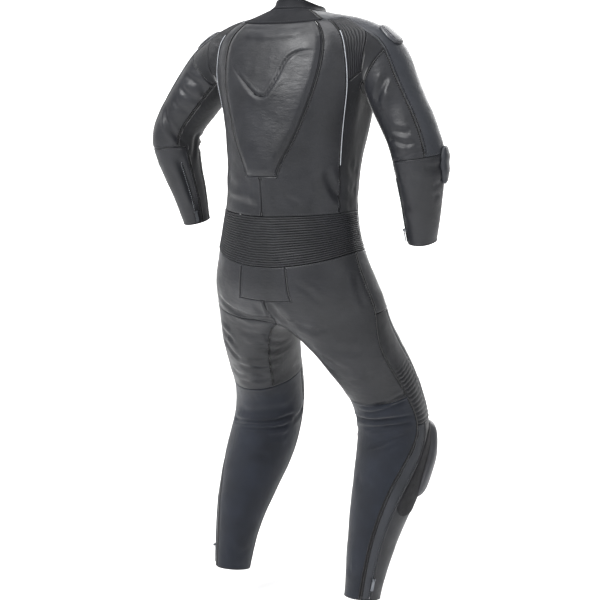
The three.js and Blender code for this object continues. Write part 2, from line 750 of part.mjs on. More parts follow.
// Hard plates and pads on the cloth, the same on both sides. thick is the height of the piece's crown.
const PADS = [
  {
    name: "shoulder_plate",
    part: "sleeve",
    material: MATERIALS.plastic,
    thick: 5,
    edge: 2,
    grid: [6, 4],
    outline: [
      { middle: 0.2, half: 0.55, row: 0.12 },
      { middle: 0.2, half: 0.85, row: 0.4 },
      { middle: 0.2, half: 0.85, row: 0.8 },
      { middle: 0.2, half: 0.5, row: 1.08 },
    ],
  },
  {
    name: "elbow_slider",
    part: "sleeve",
    material: MATERIALS.greyLeather,
    thick: 9,
    edge: 3,
    grid: [6, 6],
    outline: [
      { middle: -0.9, half: 0.6, row: 4.75 },
      { middle: -0.9, half: 1.15, row: 5.1 },
      { middle: -0.9, half: 1.15, row: 5.6 },
      { middle: -0.9, half: 0.7, row: 6.05 },
    ],
  },
  {
    name: "hook_patch",
    part: "leg",
    material: MATERIALS.hook,
    thick: 1.4,
    edge: 1.4,
    grid: [8, 12],
    outline: [
      { middle: 8.75, half: 1.0, row: 4.12 },
      { middle: 8.65, half: 1.4, row: 4.6 },
      { middle: 8.6, half: 1.45, row: 5.4 },
      { middle: 8.3, half: 1.15, row: 6.1 },
      { middle: 7.7, half: 0.6, row: 6.8 },
    ],
  },
];
for (const pad of PADS)
  for (const side of [RIGHT, LEFT]) {
    const height = (u, v) => pad.edge + (pad.thick - pad.edge) * (16 * u * (1 - u) * v * (1 - v)) ** 0.6;
    const shape = overlay(patchSpot(pad.part, side, pad.outline), ...pad.grid, height);
    addMesh(`${pad.name}_${side === RIGHT ? "right" : "left"}`, shape, pad.material);
  }

// The knee slider is a thick crescent that stands on the hook-and-loop patch
const KNEE_SLIDER = { thick: 22, edge: 5, grid: [8, 8] };
const KNEE_OUTLINE = [
  { middle: 9.0, half: 0.3, row: 4.14 },
  { middle: 9.0, half: 0.75, row: 4.4 },
  { middle: 8.95, half: 0.95, row: 4.9 },
  { middle: 8.85, half: 0.9, row: 5.5 },
  { middle: 8.7, half: 0.6, row: 5.95 },
  { middle: 8.6, half: 0.25, row: 6.15 },
];
for (const side of [RIGHT, LEFT]) {
  const spot = patchSpot("leg", side, KNEE_OUTLINE);
  const bulge = (u, v) => (4 * u * (1 - u)) ** 0.5 * Math.sin(Math.PI * v ** 0.6) ** 0.8;
  const height = (u, v) => KNEE_SLIDER.edge + (KNEE_SLIDER.thick - KNEE_SLIDER.edge) * bulge(u, v);
  const shape = overlay(spot, ...KNEE_SLIDER.grid, height);
  addMesh(`knee_slider_${side === RIGHT ? "right" : "left"}`, shape, MATERIALS.plastic);
}

// The main zip: a tape down the front, from the neck seam to the lower belly
const ZIP_TAPE = { halfWidth: 10, thick: 1.6, top: 1.06, bottom: 12.2, rows: 22 };
const tapeSpot = (u, v) => {
  const { point, normal } = findPlace("torso", LEFT, HALF, lerp(ZIP_TAPE.top, ZIP_TAPE.bottom, v));
  point.x += ZIP_TAPE.halfWidth * (1 - 2 * u);
  return { point, normal };
};
addMesh("front_zip_tape", overlay(tapeSpot, 2, ZIP_TAPE.rows, () => ZIP_TAPE.thick), MATERIALS.textile);

// Zip sliders: a base with two lugs, and a pull tab that hangs between them on a hinge.
// across, down and out are the slider's own axes; its origin is on the cloth.
const SLIDER = { width: 9.6, length: 4.4, base: 1.6, lug: 1.6, lugHeight: 4.4, gap: 0.4 };
const TAB = { neck: 4, width: 7, length: 26, thick: 1.4, start: 3.4 };
const HINGE_HEIGHT = SLIDER.base + 2.2;
const ZIPS = [
  { name: "front_zip", part: "torso", side: LEFT, column: HALF, row: 1.3 },
  { name: "cuff_zip_right", part: "sleeve", side: RIGHT, column: 6, row: 7.5 },
  { name: "cuff_zip_left", part: "sleeve", side: LEFT, column: 6, row: 7.5 },
  { name: "calf_zip_right", part: "leg", side: RIGHT, column: 7, row: 8.5 },
  { name: "calf_zip_left", part: "leg", side: LEFT, column: 7, row: 8.5 },
];

function zipFrame({ part, side, column, row }) {
  const { point, normal } = findPlace(part, side, column, row);
  const below = findPlace(part, side, column, row + 0.2).point;
  const down = below.sub(point).projectOnPlane(normal).normalize();
  const across = down.clone().cross(normal).normalize();
  const frame = new THREE.Matrix4().makeBasis(across, down, normal);
  return frame.setPosition(point.addScaledVector(normal, LIFT - clearance(point, normal)));
}

// The slider's end view, drawn across and out, and pushed through its length
function sliderShape() {
  const half = SLIDER.width / 2;
  const inner = TAB.neck / 2 + SLIDER.gap;
  const lugTop = SLIDER.base + SLIDER.lugHeight;
  const shape = new THREE.Shape();
  shape.moveTo(-half, 0);
  shape.lineTo(half, 0);
  shape.lineTo(half, SLIDER.base);
  shape.lineTo(inner + SLIDER.lug, SLIDER.base);
  shape.lineTo(inner + SLIDER.lug, lugTop);
  shape.lineTo(inner, lugTop);
  shape.lineTo(inner, SLIDER.base);
  shape.lineTo(-inner, SLIDER.base);
  shape.lineTo(-inner, lugTop);
  shape.lineTo(-inner - SLIDER.lug, lugTop);
  shape.lineTo(-inner - SLIDER.lug, SLIDER.base);
  shape.lineTo(-half, SLIDER.base);
  shape.closePath();
  const body = new THREE.ExtrudeGeometry(shape, { depth: SLIDER.length, bevelEnabled: false });
  body.rotateX(Math.PI / 2);
  body.translate(0, SLIDER.length / 2, 0);
  return body;
}

function tabShape() {
  const [neck, half] = [TAB.neck / 2, TAB.width / 2];
  const shape = new THREE.Shape();
  shape.moveTo(-neck, -TAB.thick);
  shape.lineTo(neck, -TAB.thick);
  shape.lineTo(neck, TAB.start);
  shape.lineTo(half, TAB.start + 1.5);
  shape.lineTo(half, TAB.length - half);
  shape.absarc(0, TAB.length - half, half, 0, Math.PI, false);
  shape.lineTo(-half, TAB.start + 1.5);
  shape.lineTo(-neck, TAB.start);
  shape.closePath();
  const body = new THREE.ExtrudeGeometry(shape, { depth: TAB.thick, bevelEnabled: false, curveSegments: 8 });
  body.translate(0, 0, HINGE_HEIGHT - TAB.thick / 2);
  return body;
}

for (const zip of ZIPS) {
  const frame = zipFrame(zip);
  addMesh(`${zip.name}_slider`, sliderShape().applyMatrix4(frame), MATERIALS.metal);
  addMesh(`${zip.name}_pull`, tabShape().applyMatrix4(frame), MATERIALS.metal);
}

export default suit;
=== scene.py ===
"""A motorcycle race suit, worn form with no wearer: leather, stretch and textile panels sewn edge to edge."""
from math import pi, radians

import bpy
import numpy as np
from mathutils import Matrix, Vector, noise


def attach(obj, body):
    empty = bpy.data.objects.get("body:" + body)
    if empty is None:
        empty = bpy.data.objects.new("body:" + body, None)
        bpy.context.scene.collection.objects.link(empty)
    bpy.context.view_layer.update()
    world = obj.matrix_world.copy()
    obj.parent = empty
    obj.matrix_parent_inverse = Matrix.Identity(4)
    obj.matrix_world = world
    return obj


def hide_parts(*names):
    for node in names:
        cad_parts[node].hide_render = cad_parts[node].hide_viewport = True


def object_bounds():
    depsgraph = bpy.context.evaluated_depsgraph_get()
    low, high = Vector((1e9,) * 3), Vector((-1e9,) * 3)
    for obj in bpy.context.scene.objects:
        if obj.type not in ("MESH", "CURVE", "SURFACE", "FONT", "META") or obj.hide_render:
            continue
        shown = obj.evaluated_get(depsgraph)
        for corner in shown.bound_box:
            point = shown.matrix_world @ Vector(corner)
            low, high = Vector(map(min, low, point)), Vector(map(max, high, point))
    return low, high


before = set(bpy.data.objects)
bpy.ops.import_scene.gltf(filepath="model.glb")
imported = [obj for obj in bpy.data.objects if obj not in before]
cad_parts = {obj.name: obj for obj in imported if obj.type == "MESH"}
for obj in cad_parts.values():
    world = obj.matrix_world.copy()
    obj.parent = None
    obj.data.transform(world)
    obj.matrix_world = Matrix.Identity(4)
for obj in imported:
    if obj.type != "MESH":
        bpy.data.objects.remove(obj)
CAD_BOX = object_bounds()

# The pattern: rings of the trunk, the sleeves and the legs, in millimetres and degrees

MM = 0.001
RIGHT, LEFT = -1, 1
SIDES = {"right": RIGHT, "left": LEFT}
HALF, AROUND = 12, 16
NECK_SEAM, SHOULDER, ARMHOLE_TOP, LOWER_CHEST, ARMPIT, TIP = 1, 2, 3, 6, 7, 9
LUMBAR_TOP, LUMBAR_BOTTOM, COCCYX, LEG_SPLIT = 10, 11, 12, 13
ELBOW_ROW, CUFF_ROW, ABOVE_KNEE, KNEE, HEM = 5, 8, 3, 4, 9
STRIP_COLUMN, LEG_FRONT_ANGLE, LEG_BACK_ANGLE = 6, 225, -45
SQUARE, TORSO_GROWTH, TUBE_GROWTH = 0.86, 1.012, 1.03
LEVELS = 4
CELLS = 2 ** LEVELS


def table(names, rows):
    return [dict(zip(names.split(), row)) for row in rows]


TORSO = table("back side front y wide deep_back deep_front vee piping edge", [
    (64, 45, 6, 0, 54, 52, 56, 28, 56, 72),
    (42, 31, -14, 0, 60, 57, 62, 28, 56, 72),
    (6, 21, -52, 0, 146, 102, 88, 40, 50, 72),
    (-42, 5, -92, 2, 188, 120, 102, 41, 50, 72),
    (-85, -42, -126, 4, 192, 130, 112, 40, 55, 72),
    (-122, -80, -158, 5, 190, 138, 118, 38, 60, 72),
    (-158, -114, -188, 6, 186, 144, 121, 35, 64, 72),
    (-196, -146, -216, 6, 178, 147, 122, 31, 67, 74),
    (-264, -240, -280, 10, 162, 150, 116, 21, 72, 80),
    (-320, -324, -338, 26, 158, 137, 108, 4, 78, 84),
    (-406, -398, -400, 41, 162, 110, 104, 8, 79, 85),
    (-532, -488, -492, 40, 176, 114, 116, 14, 62, 78),
    (-604, -566, -584, 19, 203, 136, 132, 13, 54, 74),
    (-650, -622, -628, -2, 216, 106, 98, 20, 52, 72),
])
ARMHOLE = dict(top=(204, 0, 3), pit=(180, 2, -130), deep=66, bulge=16)
RING = "x y z lean tip out deep"
SLEEVES = {
    RIGHT: table(RING, [
        (222, 2, -88, 54, 0, 66, 70),
        (239, 4, -134, 42, 0, 61, 66),
        (266, 6, -182, 32, 0, 57, 61),
        (293, 8, -230, 22, 0, 57, 60),
        (310, 8, -280, 6, 6, 57, 60),
        (309, -4, -334, -4, 14, 51, 54),
        (303, -20, -400, -4, 16, 41, 44),
        (296, -36, -466, -2, 14, 31, 34),
    ]),
    LEFT: table(RING, [
        (235, 2, -86, 50, 0, 66, 70),
        (273, 4, -128, 36, 0, 62, 68),
        (315, 6, -176, 30, 0, 59, 63),
        (350, 8, -222, 14, 0, 58, 61),
        (361, 6, -264, -4, 6, 55, 60),
        (350, -6, -320, -10, 14, 46, 50),
        (334, -20, -388, -8, 16, 38, 41),
        (328, -34, -450, -4, 14, 30, 33),
    ]),
}
LEG = table("x y z tilt wide back front seam strip", [
    (124, -16, -684, -20, 94, 102, 104, 72, 18),
    (145, -56, -748, -27, 86, 92, 100, 72, 18),
    (164, -98, -812, -22, 80, 84, 94, 74, 16),
    (176, -128, -896, -4, 84, 78, 90, 78, 14),
    (182, -116, -968, 14, 85, 86, 84, 58, 20),
    (187, -83, -1040, 23, 79, 86, 75, 39, 20),
    (188, -36, -1112, 25, 65, 70, 61, 30, 22),
    (187, 0, -1188, 20, 51, 54, 49, 24, 26),
    (184, 23, -1280, 10, 41, 44, 42, 22, 32),
])
CROTCH = [(-48, -634), (4, -646), (58, -654)]


def power(value, exponent):
    return np.sign(value) * abs(value) ** exponent


def lerp(a, b, t):
    return a + (b - a) * t


def torso_point(row, column, side):
    r = TORSO[row]
    front = 180 - r["edge"]
    angles = (0, r["vee"] / 2, r["vee"], (r["vee"] + r["piping"]) / 2, r["piping"], r["edge"],
              (r["edge"] + 90) / 2, 90, (front + 90) / 2, front, lerp(front, 180, 0.36),
              lerp(front, 180, 0.7), 180)
    angle = radians(angles[column])
    cosine = power(np.cos(angle), SQUARE)
    deep, end = (r["deep_back"], r["back"]) if cosine > 0 else (r["deep_front"], r["front"])
    return (side * r["wide"] * TORSO_GROWTH * power(np.sin(angle), SQUARE),
            r["y"] + deep * TORSO_GROWTH * cosine,
            lerp(r["side"], end, cosine * cosine))


def sleeve_point(row, column, side):
    angle = radians(360 * column / AROUND)
    if row == 0:
        top, pit = np.array(ARMHOLE["top"], float), np.array(ARMHOLE["pit"], float)
        x, y, z = (top + pit) / 2 + (top - pit) / 2 * power(np.cos(angle), 0.9) * TUBE_GROWTH
        y += ARMHOLE["deep"] * TUBE_GROWTH * power(np.sin(angle), 0.9)
        return side * (x + ARMHOLE["bulge"] * max(0, np.sin(angle))), y, z
    r = SLEEVES[side][row - 1]
    lean, tip = radians(r["lean"]), radians(r["tip"])
    out = r["out"] * TUBE_GROWTH * np.cos(angle)
    deep = r["deep"] * TUBE_GROWTH * np.sin(angle)
    return (side * (r["x"] + out * np.cos(lean)), r["y"] + deep * np.cos(tip),
            r["z"] + out * np.sin(lean) - deep * np.sin(tip))


def leg_point(row, column, side):
    if row == 0 and column <= HALF:
        return torso_point(LEG_SPLIT, column, side)
    if row == 0:
        return (0, *CROTCH[column - HALF - 1])
    r = LEG[row - 1]
    if column <= STRIP_COLUMN:
        angle = lerp(LEG_BACK_ANGLE, r["seam"], column / STRIP_COLUMN)
    elif column <= HALF:
        share = (column - STRIP_COLUMN - 1) / (HALF - STRIP_COLUMN - 1)
        angle = lerp(r["seam"] + r["strip"], LEG_FRONT_ANGLE, share)
    else:
        angle = lerp(LEG_FRONT_ANGLE, 360 + LEG_BACK_ANGLE, (column - HALF) / (AROUND - HALF))
    angle, tilt = radians(angle), radians(r["tilt"])
    deep = (r["back"] if np.cos(angle) > 0 else r["front"]) * TUBE_GROWTH * np.cos(angle)
    return (side * (r["x"] + r["wide"] * TUBE_GROWTH * np.sin(angle)),
            r["y"] + deep * np.cos(tilt), r["z"] + deep * np.sin(tilt))


def torso_panel(row, column, side):
    if row < NECK_SEAM:
        return "collar"
    if row < SHOULDER:
        return "nape_yoke" if column < 3 else ("shoulder_panel_" if column < 9 else "front_") + side
    if row < ARMHOLE_TOP and 5 <= column < 9:
        return "shoulder_panel_" + side
    if column >= 9:
        return "front_" + side
    if row < TIP and column < 2:
        return "back_centre"
    if row < LUMBAR_TOP:
        if column < 4:
            return "back_side_" + side
        return ("shoulder_accordion_" if row < LOWER_CHEST and column == 4 else "side_stretch_") + side
    if row < LUMBAR_BOTTOM:
        return "lumbar_accordion" if column < 9 else "side_stretch_" + side
    if row < COCCYX and column < 2:
        return "coccyx_patch"
    return ("seat_" if column < 6 else "front_") + side


def sleeve_panel(row, column, side):
    if row < 1 and 2 <= column < 6:
        return "side_stretch_" + side
    if row >= ELBOW_ROW and (column < 7 or column > 8):
        return "forearm_" + side
    if column < 2 or column >= 14:
        return "shoulder_panel_" + side
    if column < 6:
        return "sleeve_back_" + side
    return ("sleeve_inner_" if column < 10 else "sleeve_front_") + side


def leg_panel(row, column, side):
    if column >= 12 and row < ABOVE_KNEE:
        return "inner_leg_" + side
    if row < ABOVE_KNEE:
        return ("thigh_back_" if column < 6 else "thigh_side_" if column < 8 else "thigh_front_") + side
    if column < 6 or column >= 13:
        return "calf_back_" + side
    if row < KNEE:
        return ("thigh_side_" if column < 8 else "knee_accordion_") + side
    return ("calf_strip_" if column < 7 else "shin_") + side


def make_cage():
    points, index, faces = [], {}, []

    def corner(key, make, *place):
        if key not in index:
            index[key] = len(points)
            points.append(make(*place))
        return index[key]

    def sleeve_corner(row, column, side):
        column %= AROUND
        return corner(("sleeve", side, row, column), sleeve_point, row, column, side)

    def torso_corner(row, turn):
        turn %= 2 * HALF
        side = RIGHT if turn <= HALF else LEFT
        column = turn if side == RIGHT else 2 * HALF - turn
        if ARMHOLE_TOP <= row <= ARMPIT and 5 <= column <= 9:
            if row == ARMHOLE_TOP:
                hole = (7 - column) % AROUND
            elif row == ARMPIT:
                hole = column + 1
            else:
                hole = row - 1 if column == 5 else 17 - row
            if row in (ARMHOLE_TOP, ARMPIT) or column in (5, 9):
                return sleeve_corner(0, hole, side)
        return corner(("torso", row, turn), torso_point, row, column, side)

    def leg_corner(row, column, side):
        column %= AROUND
        if row:
            return corner(("leg", side, row, column), leg_point, row, column, side)
        if column > HALF:
            return corner(("crotch", column), leg_point, 0, column, side)
        return torso_corner(LEG_SPLIT, column if side == RIGHT else 2 * HALF - column)

    def add(part, side, panel, row, column, find, flip, place=lambda c: c):
        square = [(column, row), (column, row + 1), (column + 1, row + 1), (column + 1, row)]
        square = square[::-1] if flip else square
        name = panel(row, min(place(column), place(column + 1)), "right" if side == RIGHT else "left")
        faces.append(([find(r, c) for c, r in square], [(place(c), r) for c, r in square], name, part, side))

    for row in range(LEG_SPLIT):
        for turn in range(2 * HALF):
            side = RIGHT if turn < HALF else LEFT
            place = (lambda c: c) if side == RIGHT else (lambda c: 2 * HALF - c)
            column = min(place(turn), place(turn + 1))
            if not (ARMHOLE_TOP <= row < ARMPIT and 5 <= column < 9):
                add("torso", side, torso_panel, row, turn, torso_corner, False, place)
    for side in (RIGHT, LEFT):
        for column in range(AROUND):
            for row in range(CUFF_ROW):
                add("sleeve", side, sleeve_panel, row, column,
                    lambda r, c: sleeve_corner(r, c, side), side == RIGHT)
            for row in range(HEM):
                add("leg", side, leg_panel, row, column, lambda r, c: leg_corner(r, c, side), side == LEFT)
    return (np.array(points, float), np.array([f[0] for f in faces]),
            np.array([f[1] for f in faces], float), [f[2:] for f in faces])


def subdivide(points, quads, places, owner):
    count = len(points)
    centres = points[quads].mean(1)
    sides = np.sort(np.stack([quads, np.roll(quads, -1, 1)], -1).reshape(-1, 2), 1)
    edges, which = np.unique(sides, axis=0, return_inverse=True)
    which = which.reshape(-1, 4)
    middles = points[edges].mean(1)

    def gather(size, targets, values):
        total = np.zeros((size, 3))
        for axis in range(3):
            total[:, axis] = np.bincount(
                targets.ravel(), np.broadcast_to(values[..., axis], targets.shape).ravel(), size)
        return total

    inner = np.bincount(which.ravel(), minlength=len(edges)) == 2
    edge_points = middles.copy()
    edge_points[inner] = middles[inner] / 2 + gather(len(edges), which, centres[:, None])[inner] / 4
    faces_near = np.bincount(quads.ravel(), minlength=count)[:, None]
    near_faces = gather(count, quads, centres[:, None]) / faces_near
    near_middles = gather(count, edges, middles[:, None]) / faces_near
    moved = (points * (faces_near - 3) + 2 * near_middles + near_faces) / faces_near
    rim = edges[~inner]
    rim_sum = gather(count, rim, points[rim[:, ::-1]])
    on_rim = np.unique(rim)
    moved[on_rim] = (6 * points[on_rim] + rim_sum[on_rim]) / 8
    centre_index = count + np.arange(len(quads))
    edge_index = count + len(quads) + which
    fine = np.stack(
        [quads, edge_index, np.repeat(centre_index[:, None], 4, 1), np.roll(edge_index, 1, 1)], -1)
    after, before = (places + np.roll(places, -1, 1)) / 2, (places + np.roll(places, 1, 1)) / 2
    centre = np.repeat(places.mean(1)[:, None], 4, 1)
    fine_places = np.stack([places, after, centre, before], 2)
    return (np.concatenate([moved, centres, edge_points]), fine.reshape(-1, 4),
            fine_places.reshape(-1, 4, 2), np.repeat(owner, 4))


# The worn surface: the pattern smoothed, then folded

# Rows: part, side, width and depth in millimetres (a negative depth is a ridge), path of columns and rows.
# On the trunk the columns are positive to the right and negative to the left.
FOLDS = [
    # the back: rolled edge below the nape, inner shield, waist
    ("torso", 0, 5, 1.6, [(-1.75, 2.3), (0, 2.32), (1.75, 2.3)]),
    ("torso", 0, 8, -3.2, [(-1.6, 2.62), (0, 2.66), (1.6, 2.62)]),
    ("torso", 0, 3.4, 2.6, [(-1.81, 3.81), (-1.23, 4.46), (-.72, 5.18), (-.31, 5.76), (0, 5.9),
                            (.16, 5.79), (.44, 4.92), (.64, 3.97), (.94, 3.57), (1.36, 3.58), (1.89, 3.72)]),
    ("torso", 0, 8, -1.8, [(-1.4, 4.6), (-.8, 5.5), (-.2, 6.15), (.2, 6.1), (.55, 5.2), (.78, 4.2)]),
    ("torso", 0, 6, 1.6, [(2.26, 9.51), (2.52, 9.64), (2.77, 9.78)]),
    ("torso", 0, 9, 2.6, [(-3.3, 9.62), (-2.4, 9.74), (-.56, 9.87)]),
    ("torso", 0, 10, -2.2, [(-3.4, 9.4), (-2.6, 9.5), (-1.2, 9.6)]),
    ("torso", 0, 9, 2.6, [(3.44, 8.71), (3.6, 9.19), (4.17, 9.62), (6.69, 9.8)]),
    ("torso", 0, 12, -2.6, [(3.0, 8.9), (3.2, 9.4), (3.9, 9.8)]),
    ("torso", 0, 6, 1.8, [(3.19, 9.95), (4.04, 9.91), (6.18, 9.88)]),
    ("torso", 0, 10, 1.8, [(-3.5, 8.7), (-3.2, 9.1), (-2.4, 9.4)]),
    ("torso", 0, 12, 2.0, [(-.1, 9.05), (-.1, 9.5), (0, 9.95)]),
    # the seat: seams to the crotch, fold under each buttock
    ("torso", 0, 3.4, 2.4, [(-.02, 11.92), (-.05, 12.3), (-.14, 12.8)]),
    ("torso", 0, 8, 2.2, [(.42, 11.98), (.51, 12.37), (.53, 12.74), (.9, 13)]),
    ("torso", 0, 13, -3.4, [(1.33, 11.95), (1.36, 12.41), (1.25, 12.9)]),
    ("torso", 0, 8, 3.4,
     [(-4.4, 12.45), (-3.33, 12.58), (-2.52, 12.76), (-1.44, 12.91), (-.26, 12.86), (.33, 12.86)]),
    ("torso", 0, 16, -3.2, [(-3.8, 12.25), (-2.5, 12.42), (-1.2, 12.52), (-.5, 12.4)]),
    ("torso", 0, 7, 1.4, [(2.2, 11.35), (2.8, 11.7), (3.2, 12.3)]),
    ("torso", 0, 8, 1.6, [(5.2, 11.4), (5.0, 12.1), (5.1, 12.8)]),
    # the front and the flanks, hidden from the photograph's side
    ("torso", 0, 9, 2.8, [(11.2, 9.2), (10.2, 9.55), (9.3, 9.7)]),
    ("torso", 0, 8, 2.2, [(11.5, 9.8), (10.4, 10.0), (9.5, 10.2)]),
    ("torso", 0, 9, 2.4, [(-11.3, 9.35), (-10.1, 9.7), (-9.2, 9.75)]),
    ("torso", 0, 8, 2.6, [(-11.4, 10.1), (-10.3, 10.25), (-9.4, 10.6)]),
    ("torso", 0, 10, 3.0, [(11.3, 12.2), (10.2, 12.45), (9.2, 12.3)]),
    ("torso", 0, 9, 2.6, [(-11.2, 12.35), (-10.1, 12.5), (-9.1, 12.2)]),
    ("torso", 0, 9, 2.2, [(9.3, 7.3), (9.9, 7.9), (10.7, 8.2)]),
    ("torso", 0, 9, 2.0, [(-9.3, 7.4), (-10.0, 7.8), (-10.8, 8.3)]),
    ("torso", 0, 8, 2.0, [(4.6, 8.6), (6.2, 8.9), (7.9, 8.8)]),
    ("torso", 0, 8, 2.0, [(-4.7, 8.7), (-6.3, 8.9), (-7.8, 8.7)]),
    ("torso", 0, 7, 1.8, [(4.5, 9.3), (6.4, 9.45), (8.3, 9.3)]),
    ("torso", 0, 7, 1.8, [(-4.5, 9.3), (-6.2, 9.5), (-8.4, 9.3)]),
    # the left thigh: many short wrinkles below the seat
    ("leg", LEFT, 6, -2.4, [(4.49, .5), (3.67, .54), (2.95, .63)]),
    ("leg", LEFT, 6, 2.4, [(4.2, .72), (3.4, .78), (2.6, .98)]),
    ("leg", LEFT, 6, -2.2, [(3.54, .85), (3.05, 1.0), (2.33, 1.32)]),
    ("leg", LEFT, 6, 2.4, [(4.3, 1.02), (3.5, 1.18), (2.83, 1.42), (2.2, 1.6)]),
    ("leg", LEFT, 7, 2.2, [(2.3, .52), (1.03, .62), (-.12, .78)]),
    ("leg", LEFT, 6, -1.8, [(1.9, .85), (.8, .92), (-.1, 1.0)]),
    ("leg", LEFT, 6, 2.8, [(.56, .62), (-.1, .95), (-.75, 1.16), (-1.42, 1.28)]),
    ("leg", LEFT, 6, 2.4, [(.95, 1.2), (0, 1.38), (-1.13, 1.5), (-1.9, 1.5)]),
    ("leg", LEFT, 6, -1.8, [(.7, 1.35), (-.1, 1.55), (-1.2, 1.68)]),
    ("leg", LEFT, 8, 2.2, [(2.94, 1.74), (1.29, 2.02), (-.8, 2.24)]),
    ("leg", LEFT, 7, 1.8, [(1.8, 1.55), (.7, 1.72), (-.9, 1.86)]),
    ("leg", LEFT, 9, 1.8, [(3.31, 2.56), (1.28, 2.74), (-.55, 2.73)]),
    ("leg", LEFT, 8, 1.6, [(3.9, 2.1), (2.9, 2.3), (1.8, 2.35)]),
    # the left knee: two deep folds and a soft one above them
    ("leg", LEFT, 10, 2.6, [(4.04, 4.27), (1.56, 4.15), (-.29, 4.03), (-1.53, 4.01)]),
    ("leg", LEFT, 5.5, 5.2,
     [(4.9, 4.62), (4.3, 4.65), (3.06, 4.64), (1.46, 4.6), (.04, 4.5), (-1.17, 4.32), (-2.6, 4.3)]),
    ("leg", LEFT, 5, 4.2, [(3.43, 4.95), (1.0, 4.88), (-.53, 4.76), (-1.31, 4.66)]),
    ("leg", LEFT, 7, -2.4, [(3.9, 4.8), (1.2, 4.74), (-.6, 4.62)]),
    ("leg", LEFT, 6, 2.0, [(.3, 5.2), (-.6, 5.12), (-1.4, 5.04)]),
    ("leg", LEFT, 9, 2.0, [(1.4, 8.42), (.2, 8.56), (-1.6, 8.6)]),
    ("leg", LEFT, 9, 1.6, [(2.8, 5.6), (1.2, 5.75), (-.8, 5.9)]),
    # the right thigh: smooth, with a few folds by the crotch and along the side seam
    ("leg", RIGHT, 7, 2.6, [(1.2, .02), (1.76, .12), (2.4, .28)]),
    ("leg", RIGHT, 7, 2.4, [(1.7, .42), (2.33, .19), (2.95, .08)]),
    ("leg", RIGHT, 9, 1.8, [(2.5, .75), (3.46, .91), (4.6, 1.01)]),
    ("leg", RIGHT, 9, 1.8, [(1.6, 1.07), (2.38, 1.37), (3.3, 1.6)]),
    ("leg", RIGHT, 9, -1.8, [(1.3, .7), (2.0, 1.0), (2.9, 1.25)]),
    ("leg", RIGHT, 7, 1.6, [(4.8, 1.7), (3.6, 1.95), (2.6, 1.9)]),
    # the right knee: a fan of folds from the inside of the knee
    ("leg", RIGHT, 5, 3.0, [(1.2, 3.12), (2.3, 3.1), (4.0, 2.98), (5.4, 2.9), (6.2, 2.92)]),
    ("leg", RIGHT, 5, 3.6, [(1.0, 3.4), (2.78, 3.3), (4.58, 3.12), (5.9, 3.08)]),
    ("leg", RIGHT, 5, 4.8, [(-.4, 3.86), (.32, 3.8), (2.89, 3.64), (4.53, 3.61), (6.0, 3.66)]),
    ("leg", RIGHT, 5, 3.6, [(1.0, 4.14), (2.2, 4.02), (3.6, 3.9), (4.8, 3.84), (5.8, 3.86)]),
    ("leg", RIGHT, 5, 3.2, [(1.7, 4.98), (2.95, 4.78), (4.06, 4.45), (5.2, 4.29)]),
    ("leg", RIGHT, 7, -2.2, [(1.2, 3.62), (3.0, 3.46), (4.8, 3.36)]),
    ("leg", RIGHT, 7, -2.0, [(1.2, 4.4), (3.0, 4.2), (4.6, 4.08)]),
    ("leg", RIGHT, 6, 1.8, [(3.6, 4.95), (4.4, 4.7), (5.3, 4.55)]),
    ("leg", RIGHT, 9, 1.6, [(1.4, 8.3), (3.0, 8.4), (4.6, 8.2)]),
    ("leg", RIGHT, 10, 1.6, [(.8, 6.0), (2.4, 6.2), (4.0, 6.1)]),
    # the legs' inside and front
    ("leg", RIGHT, 7, 3.0, [(14.2, .8), (13.2, .95), (12.1, .8)]),
    ("leg", LEFT, 7, 3.0, [(14.0, .7), (13.1, .9), (12.0, .85)]),
    ("leg", RIGHT, 7, 2.6, [(14.4, 1.6), (13.3, 1.75), (12.2, 1.6)]),
    ("leg", LEFT, 7, 2.6, [(14.3, 2.6), (13.1, 2.8), (12.1, 2.6)]),
    ("leg", RIGHT, 6, 3.4, [(15.6, 3.9), (14.5, 3.8), (13.4, 3.6)]),
    ("leg", RIGHT, 6, 3.0, [(15.8, 4.4), (14.6, 4.3), (13.2, 4.1)]),
    ("leg", LEFT, 6, 3.0, [(14.6, 4.5), (13.7, 4.35), (13.0, 4.1)]),
    ("leg", RIGHT, 8, 2.4, [(11.6, .7), (10.2, .9), (9.0, .7)]),
    ("leg", LEFT, 8, 2.4, [(11.5, .6), (10.3, .8), (8.8, .8)]),
    ("leg", RIGHT, 8, 2.0, [(11.8, 2.5), (10.4, 2.7), (9.2, 2.6)]),
    ("leg", LEFT, 8, 2.0, [(11.8, 2.4), (10.6, 2.65), (9.0, 2.6)]),
    ("leg", RIGHT, 8, 2.2, [(12.6, 6.6), (11.4, 6.8), (10.2, 6.7)]),
    ("leg", LEFT, 8, 2.2, [(12.4, 6.4), (11.2, 6.7), (10.0, 6.8)]),
    ("leg", RIGHT, 8, 2.0, [(13.0, 8.1), (11.6, 8.3), (10.4, 8.1)]),
    ("leg", LEFT, 8, 2.0, [(12.8, 8.2), (11.6, 8.25), (10.2, 8.0)]),
    # the right sleeve: elbow seam, gathers on its inner side, creases over the elbow
    ("sleeve", RIGHT, 2.6, 2.0, [(5.3, 4.86), (5.0, 4.88), (3.33, 4.79), (1.32, 4.72)]),
    ("sleeve", RIGHT, 5, 3.0, [(5.6, 4.1), (4.69, 4.14), (3.69, 4.42), (2.44, 4.46)]),
    ("sleeve", RIGHT, 5, -2.4, [(5.4, 4.36), (4.4, 4.5), (3.4, 4.64)]),
    ("sleeve", RIGHT, 6, 2.2, [(4.6, 3.72), (3.58, 3.98), (2.7, 4.1)]),
    ("sleeve", RIGHT, 6, 3.0, [(2.4, 5.36), (1.11, 5.38), (-.2, 5.36)]),
    ("sleeve", RIGHT, 6, 2.8, [(1.5, 5.99), (.7, 5.96), (-.3, 5.9)]),
